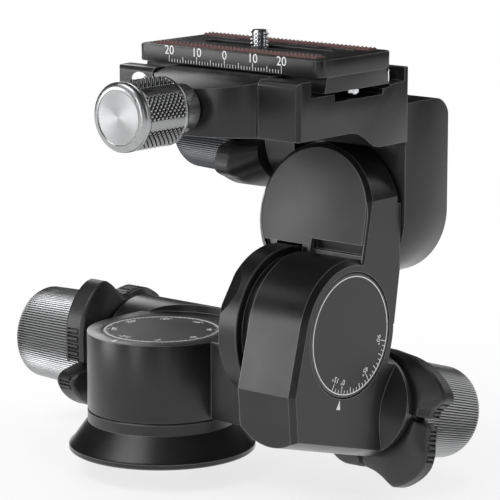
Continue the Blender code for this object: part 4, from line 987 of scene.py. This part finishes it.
def build_clamp_knob():
    # Six diamond-knurled pads with plain flutes between them, a polished rim and a turned end.
    around = 540
    count = 88
    full, end = CLAMP_KNOB_R, CLAMP_KNOB_T1
    start = CLAMP_KNOB_T0 + 1.6
    stop = end - 3.2

    def radius_at(turn, along, edge):
        pad = (turn - 18 + 30) % 60 - 30
        on_pad = min(1.0, max(0.0, (21.5 - abs(pad)) / 1.2))
        length = radians(turn) * full
        ridge = 2 * min(abs((length + along) / CLAMP_PITCH % 1 - 0.5),
                        abs((length - along) / CLAMP_PITCH % 1 - 0.5))
        depth = CLAMP_DEEP * max(0.0, 0.55 - ridge) / 0.55
        return full - edge * (on_pad * depth + CLAMP_FLUTE * (1 - on_pad))

    def rings(*rims):
        return [ring(along, radius, around) for along, radius in rims]

    rows = rings((end - 4, KNOB_BORE), (CLAMP_KNOB_T0, KNOB_BORE), (CLAMP_KNOB_T0, full - 0.8),
                 (CLAMP_KNOB_T0 + 0.3, full - 0.25), (CLAMP_KNOB_T0 + 0.8, full))
    for step in range(count + 1):
        along = start + (stop - start) * step / count
        edge = min(1.0, min(step, count - step) / 3)
        turns = [360 * i / around for i in range(around)]
        rows.append([(*polar(radius_at(turn, along, edge), turn), along) for turn in turns])
    rows += rings((stop + 0.5, full), (stop + 0.9, full - 0.35), (stop + 1.3, full),
                  (end - 1.2, full - 0.1), (end - 0.5, full - 0.7), (end - 0.1, full - 1.6),
                  (end, full - 2.3), (end - 0.35, full - 2.6), (end - 0.35, 0.05),
                  (end - 4, 0.05))
    knob = skin("clamp_knob_grip", rows, FRONT_FRAME)
    look = knurled("clamp_knurl", SILVER_TONE, 0.3, full, 0.0, start, stop)
    dress(knob, "clamp_drive", (look, "silver_aluminium"), "clamp_knob", 40)
    face = turned(
        "clamp_knob_end",
        [(0, end - 0.34), (full - 2.75, end - 0.34), (full - 2.8, end - 0.22), (0, end - 0.2)],
        FRONT_FRAME)
    dress(face, "clamp_drive", TURNED)


def reach(outline, angle):
    # Smooth radius through the outline's points, which run round the worm's axis.
    points = outline[-1:] + outline + [(turn - 360, share) for turn, share in outline[:2]]
    for (_, first), (high, second), (low, third), (_, fourth) in zip(
            points, points[1:], points[2:], points[3:]):
        if low <= angle <= high:
            part = (high - angle) / (high - low)
            bend = (2 * second + (third - first) * part
                    + (2 * first - 5 * second + 4 * third - fourth) * part ** 2
                    + (3 * second - first - 3 * third + fourth) * part ** 3) / 2
            return LEVER_R * bend


def wing(name, place, lever, start, end, inner, ribs):
    # One segment of a lever: a face that flares from the tube's end out to a ribbed band.
    count = int((end - start) / 0.5)
    angles = [start + (end - start) * i / count for i in range(count + 1)]
    foot, band, top = lever["foot"], lever["band"], lever["edge"]
    fore = top - band
    # Each level is its height, its share of the flare, how far it draws in, and its ribs: none,
    # their sides, or their rounded ends.
    levels = (
        (0.9, 0.2, 0, 0), (band - 0.9, 0.92, 0, 0), (band - 0.2, 1, 0.3, 0),
        (band + 0.3, 1, 0, 0), (band + 0.12 * fore, 1, 0, 0), (band + 0.14 * fore, 1, 0, 2),
        (band + 0.2 * fore, 1, 0, 2), (band + 0.22 * fore, 1, 0, 1), (band + 0.84 * fore, 1, 0, 1),
        (band + 0.86 * fore, 1, 0, 0), (top - 0.5, 1, 0, 0), (top - 0.15, 1, 0.15, 0),
        (top, 1, 0.6, 0))

    def groove_at(angle, full, kind):
        # Depth of the groove that runs round a rib.
        for centre in ribs:
            off = radians(abs(angle - centre)) * full
            gone = off - RIB_HALF if kind == 2 else abs(off - RIB_HALF)
            if gone < RIB_LINE:
                return RIB_DEEP * min(1.0, (RIB_LINE - gone) / (0.4 * RIB_LINE))
        return 0.0

    def radius_at(angle, share, drop, kind):
        full = reach(lever["outline"], angle if angle <= SEAM else angle - 360)
        full -= 0.5 * max(0.0, 1 - min(angle - start, end - angle) / 1.5)
        radius = foot + (full - foot) * share - drop
        return radius - groove_at(angle, full, kind) if kind else radius

    def row(along, radii):
        return [(x, lever["sense"] * y, along) for x, y in map(polar, radii, angles)]

    rows = [row(LEVER_CLEAR, [foot - 0.5] * len(angles))]
    rows += [row(along, [radius_at(angle, *rest) for angle in angles]) for along, *rest in levels]
    deep = top - LEVER_POCKET
    for along, radius in ((top, LEVER_LIP), (deep, LEVER_LIP), (deep, inner), (LEVER_CLEAR, inner)):
        rows.append(row(along, [radius] * len(angles)))
    return skin(name, rows, place, False)


def straight_knob(name, place, radius, low, high, body, tone, slot, node):
    # A straight-knurled knob with a plain chamfered end.
    around = KNOB_TEETH * 4

    def toothed(along, size, knurl=0.0):
        return [(*polar(size - knurl * TOOTH[i % 4], 360 * i / around), along)
                for i in range(around)]

    end = radius - KNOB_TAPER
    start = low + 1.2
    straight = high - low - 4.0
    rims = [(high - 4, 3.7), (low, 3.7), (low, radius - 1.4),
            (low + 0.6, radius - 0.6, 0.2 * KNOB_DEEP), (start, radius, KNOB_DEEP)]
    rims += [(start + straight * step / 6, radius - KNOB_TAPER * step / 6, KNOB_DEEP)
             for step in range(1, 7)]
    rims += [(high - 2.0, end - 0.35, 0.7 * KNOB_DEEP), (high - 1.2, end - 1.0, 0.3 * KNOB_DEEP),
             (high - 0.5, end - 1.9), (high - 0.1, end - 3.0), (high, end - 4.2),
             (high - 0.3, end - 4.6), (high - 0.3, 0.05), (high - 4, 0.05)]
    knob = skin(name, [toothed(*rim) for rim in rims], place)
    look = knurled(name + "_look", tone, 0.34, radius, KNOB_TAPER / straight, start, high - 2.4)
    dress(knob, body, (look, slot), node, 34)


def build_drive(name, frame_end, lever, carrier, knob_tone, knob_slot):
    # A lever's fixed wing, its moving wing with the hub, and the knob, all at a tube's end.
    slit, ribs, top = lever["slit"], lever["ribs"], lever["edge"]
    gone = slit - SECTOR
    around = [g for g in ribs if g > slit] + [g + 360 for g in ribs if g < gone]
    fixed = wing(name + "_grip_wing", frame_end, lever, slit + SLIT_HALF,
                 gone + 360 - SLIT_HALF, HUB_R + LEVER_CLEAR, around)
    dress(fixed, carrier, PLASTIC, name + "_grip", 32)
    moving = wing(name + "_release_wing", frame_end, lever, gone + SLIT_HALF, slit - SLIT_HALF,
                  HUB_R - OVER, [g for g in ribs if gone < g < slit])
    hub = turned(name + "_hub", [(KNOB_BORE, LEVER_CLEAR), (HUB_R, LEVER_CLEAR), (HUB_R, top),
                                 (KNOB_BORE, top)], frame_end, 64)
    dress(join(moving, hub), name + "_lever", PLASTIC, name + "_release", 32)
    straight_knob(name + "_knob_grip", frame_end, lever["knob_r"], top + GAP, lever["knob_end"],
                  name + "_drive", knob_tone, knob_slot, name + "_knob")


def slot_outline(x0, x1, y, width):
    end = width / 2
    return arc(end, -90, 90, 12, (x1 - end, y)) + arc(end, 90, 270, 12, (x0 + end, y))


def build_plate():
    corner = PLATE_CORNER
    left, right = PLATE_X0 + corner, PLATE_X1 - corner
    front, back = PLATE_Y0 + corner, PLATE_Y1 - corner
    outline = []
    for turn, centre in enumerate(((right, back), (left, back), (left, front), (right, front))):
        outline += arc(corner, 90 * turn, 90 * turn + 90, 8, centre)
    neck = PLATE_NECK_Z
    band = bevelled(slab("plate_shell", [outline], neck, PLATE_TOP, WORLD), 0.45, 60, 3)
    foot = slab(
        "foot",
        [[(-PLATE_FOOT_Y, PLATE_FOOT_Z), (PLATE_FOOT_Y, PLATE_FOOT_Z), (PLATE_NECK_Y, neck),
          (PLATE_NECK_Y, neck + GAP), (-PLATE_NECK_Y, neck + GAP), (-PLATE_NECK_Y, neck)]],
        PLATE_X0 + 0.4, PLATE_X1 - 0.4, YZ_FRAME)
    plate = join(band, bevelled(foot, 0.25, 60, 2))
    tools = [slab("slot", [slot_outline(x0, x1, y, width)], PLATE_TOP - deep, PLATE_TOP + OVER,
                  WORLD) for x0, x1, y, width, deep in PLATE_SLOTS]
    tools += [box("seat", (x0 - GAP, y0 - GAP, PLATE_TOP - 1.1),
                  (x1 + GAP, y1 + GAP, PLATE_TOP + OVER)) for _, x0, x1, y0, y1 in PLATE_STRIPS]
    dress(cut(plate, *tools), "plate", BLACK, "camera_plate", 25)
    for strip in PLATE_STRIPS:
        ribbed_strip(*strip)
    ticks = []
    words = []
    for step in range(-20, 21):
        length = 2.4 if step % 10 == 0 else 1.9 if step % 5 == 0 else 1.1
        x = PLATE_TICK_X + step * PLATE_TICK_STEP
        ticks.append(bar((x, neck + 0.5 + length / 2), 90, length, 0.2))
        if step % 10 == 0:
            words.append((str(abs(step)), x, neck + 4.3, 0, PLATE_LETTER))
    mark(bars("plate_ticks", ticks, PLATE_FRAME), "plate")
    mark(lettering("plate_numbers", words, PLATE_FRAME), "plate")
    build_camera_screw()


def ribbed_strip(label, x0, x1, y0, y1):
    # A rubber strip whose top is cut into slanting ridges.
    columns = ceil((x1 - x0) / 0.16)
    lanes = 22
    bm = bmesh.new()
    grid = []
    for i in range(columns + 1):
        x = x0 + (x1 - x0) * i / columns
        row = []
        for j in range(lanes + 1):
            y = y0 + (y1 - y0) * j / lanes
            phase = ((x + 0.9 * y) / 1.7) % 1
            rise = RIDGE * min(1.0, max(0.0, (0.5 - abs(phase - 0.5)) * 4 - 0.5))
            up = rise if 0 < i < columns and 0 < j < lanes else 0
            row.append(bm.verts.new((x * MM, y * MM, (PLATE_TOP + RIDGE + up) * MM)))
        grid.append(row)
    for first, second in zip(grid, grid[1:]):
        for j in range(lanes):
            bm.faces.new((first[j], second[j], second[j + 1], first[j + 1]))
    rim = ([row[0] for row in grid[:-1]] + grid[-1][:-1]
           + [row[lanes] for row in grid[:0:-1]] + grid[0][:0:-1])
    lower = [bm.verts.new((v.co.x, v.co.y, (PLATE_TOP - 0.8) * MM)) for v in rim]
    for i in range(len(rim)):
        bm.faces.new((rim[i - 1], rim[i], lower[i], lower[i - 1]))
    bm.faces.new(lower)
    bmesh.ops.recalc_face_normals(bm, faces=bm.faces)
    dress(from_bmesh(bm, label + "_ribs", WORLD), "plate", RUBBER, label, 50)


def thread_rows(low, high):
    count = int((high - low) / SCREW_PITCH * 10)
    around = 64
    rows = []
    for step in range(count + 1):
        along = low + (high - low) * step / count
        chamfer = max(0.0, along - high + 0.8) * 0.9
        row = []
        for i in range(around):
            phase = (along / SCREW_PITCH - i / around) % 1
            drop = SCREW_DEPTH * min(1.0, abs(phase - 0.5) * 2.6)
            row.append((*polar(SCREW_R - max(drop, chamfer), 360 * i / around), along))
        rows.append(row)
    return rows


def build_camera_screw():
    low = PLATE_TOP - 0.9
    base = PLATE_TOP - 2.6
    head = [(base, 0.06), (base, SCREW_HEAD_R - 0.3), (base + 0.3, SCREW_HEAD_R),
            (low - 0.3, SCREW_HEAD_R), (low, SCREW_HEAD_R - 0.3), (low, SCREW_R - 0.7)]
    thread = thread_rows(low, PLATE_TOP + SCREW_UP)
    rows = [ring(along, radius, len(thread[0])) for along, radius in head] + thread
    rows.append([(x * 0.02, y * 0.02, z) for x, y, z in thread[-1]])
    screw = skin("camera_screw_thread", rows, moved(SCREW_X, SLOT_Y, 0))
    dress(screw, "screw", STEEL, "camera_screw", 40)


def finish_nodes():
    # Inner pieces that keep their CAD shape get a grained material.
    looks = {slot: look for look, slot in (BRONZE, STEEL)}
    slots = {s["node"]: s["material_slot"] for s in frame["record"]["subparts"]}
    for name, node in NODES.items():
        for slot in node.material_slots:
            slot.material = looks.get(slots.get(name), BLACK[0])


def studio():
    cam = bpy.data.cameras.new("camera")
    cam.sensor_width = 36
    cam.lens = CAMERA_LENS
    obj = link("camera", cam)
    obj.location = CAMERA_PLACE
    obj.rotation_euler = (radians(90 - CAMERA_TIP), 0, radians(CAMERA_TURN))
    bpy.context.scene.camera = obj
    bpy.context.scene.view_settings.view_transform = "Standard"
    world = bpy.data.worlds.new("studio")
    bpy.context.scene.world = world
    world.use_nodes = True
    tree = world.node_tree
    # Dim surroundings for reflections, soft white fill for the rest, white behind the object.
    fill = tree.nodes["Background"]
    feed(tree, fill, {"Color": (1, 1, 1, 1), "Strength": FILL_LIGHT})
    mirrored, seen = (
        add(tree, "ShaderNodeBackground", {"Color": (1, 1, 1, 1), "Strength": s})["Background"]
        for s in (MIRRORED_LIGHT, 1.0))
    path = add(tree, "ShaderNodeLightPath", {})
    lit = mixed(tree, path["Is Glossy Ray"], fill.outputs["Background"], mirrored)
    feed(tree, tree.nodes["World Output"],
         {"Surface": mixed(tree, path["Is Camera Ray"], lit, seen)})
    for name, place, wide, tall, power in LAMPS:
        lamp = bpy.data.lights.new(name, "AREA")
        lamp.shape = "RECTANGLE"
        lamp.size = wide
        lamp.size_y = tall
        lamp.energy = power
        holder = link(name, lamp)
        holder.location = place
        aim = Vector(LAMP_AIM) - Vector(place)
        holder.rotation_euler = aim.to_track_quat("-Z", "Y").to_euler()
    build_floor()


def build_floor():
    # A pale floor that the camera sees nearly white, so that only a soft shadow is left.
    look = plain("pale_floor", (0.86, 0.86, 0.86), 0.8)
    tree = look.node_tree
    shade(tree, {"Base Color": tint(tree, grain(tree, 3, 2), (0.85,) * 3, (0.88,) * 3)})
    path = add(tree, "ShaderNodeLightPath", {})
    place = add(tree, "ShaderNodeNewGeometry", {})["Position"]
    far = add(tree, "ShaderNodeVectorMath", {0: place}, "LENGTH")["Value"]
    share = sums(tree, "MULTIPLY", path["Is Camera Ray"], ramp(tree, far, 0.75, 1.0, 0.08, 0.3))
    glow, bright = (add(tree, "ShaderNodeEmission", {"Strength": s})["Emission"]
                    for s in (1.0, FLOOR_LIGHT))
    lit = mixed(tree, share, tree.nodes["Principled BSDF"].outputs["BSDF"], glow)
    feed(tree, tree.nodes["Material Output"],
         {"Surface": mixed(tree, path["Is Glossy Ray"], lit, bright)})
    floor = turned("floor", [(0, -12), (1600, -12), (1600, -8), (0, -8)], WORLD, 64)
    floor.data.materials.append(look)


def main():
    finish_nodes()
    build_foot()
    build_pan()
    build_roll()
    build_head()
    build_clamp()
    build_clamp_knob()
    build_plate()
    build_drive("pan", PAN_WORM_FRAME @ moved(0, 0, -PAN_TUBE_X), PAN_LEVER, "pan_frame",
                SILVER_TONE, "knob_silver")
    build_drive("tilt", TILT_WORM_FRAME @ moved(0, 0, TILT_TUBE_END), TILT_LEVER, "roll_frame",
                SILVER_TONE, "knob_silver")
    build_drive("head", HEAD_WORM_FRAME @ moved(0, 0, HEAD_TUBE_END), HEAD_LEVER,
                "head_frame", DARK_TONE, "knob_dark")
    studio()


main()
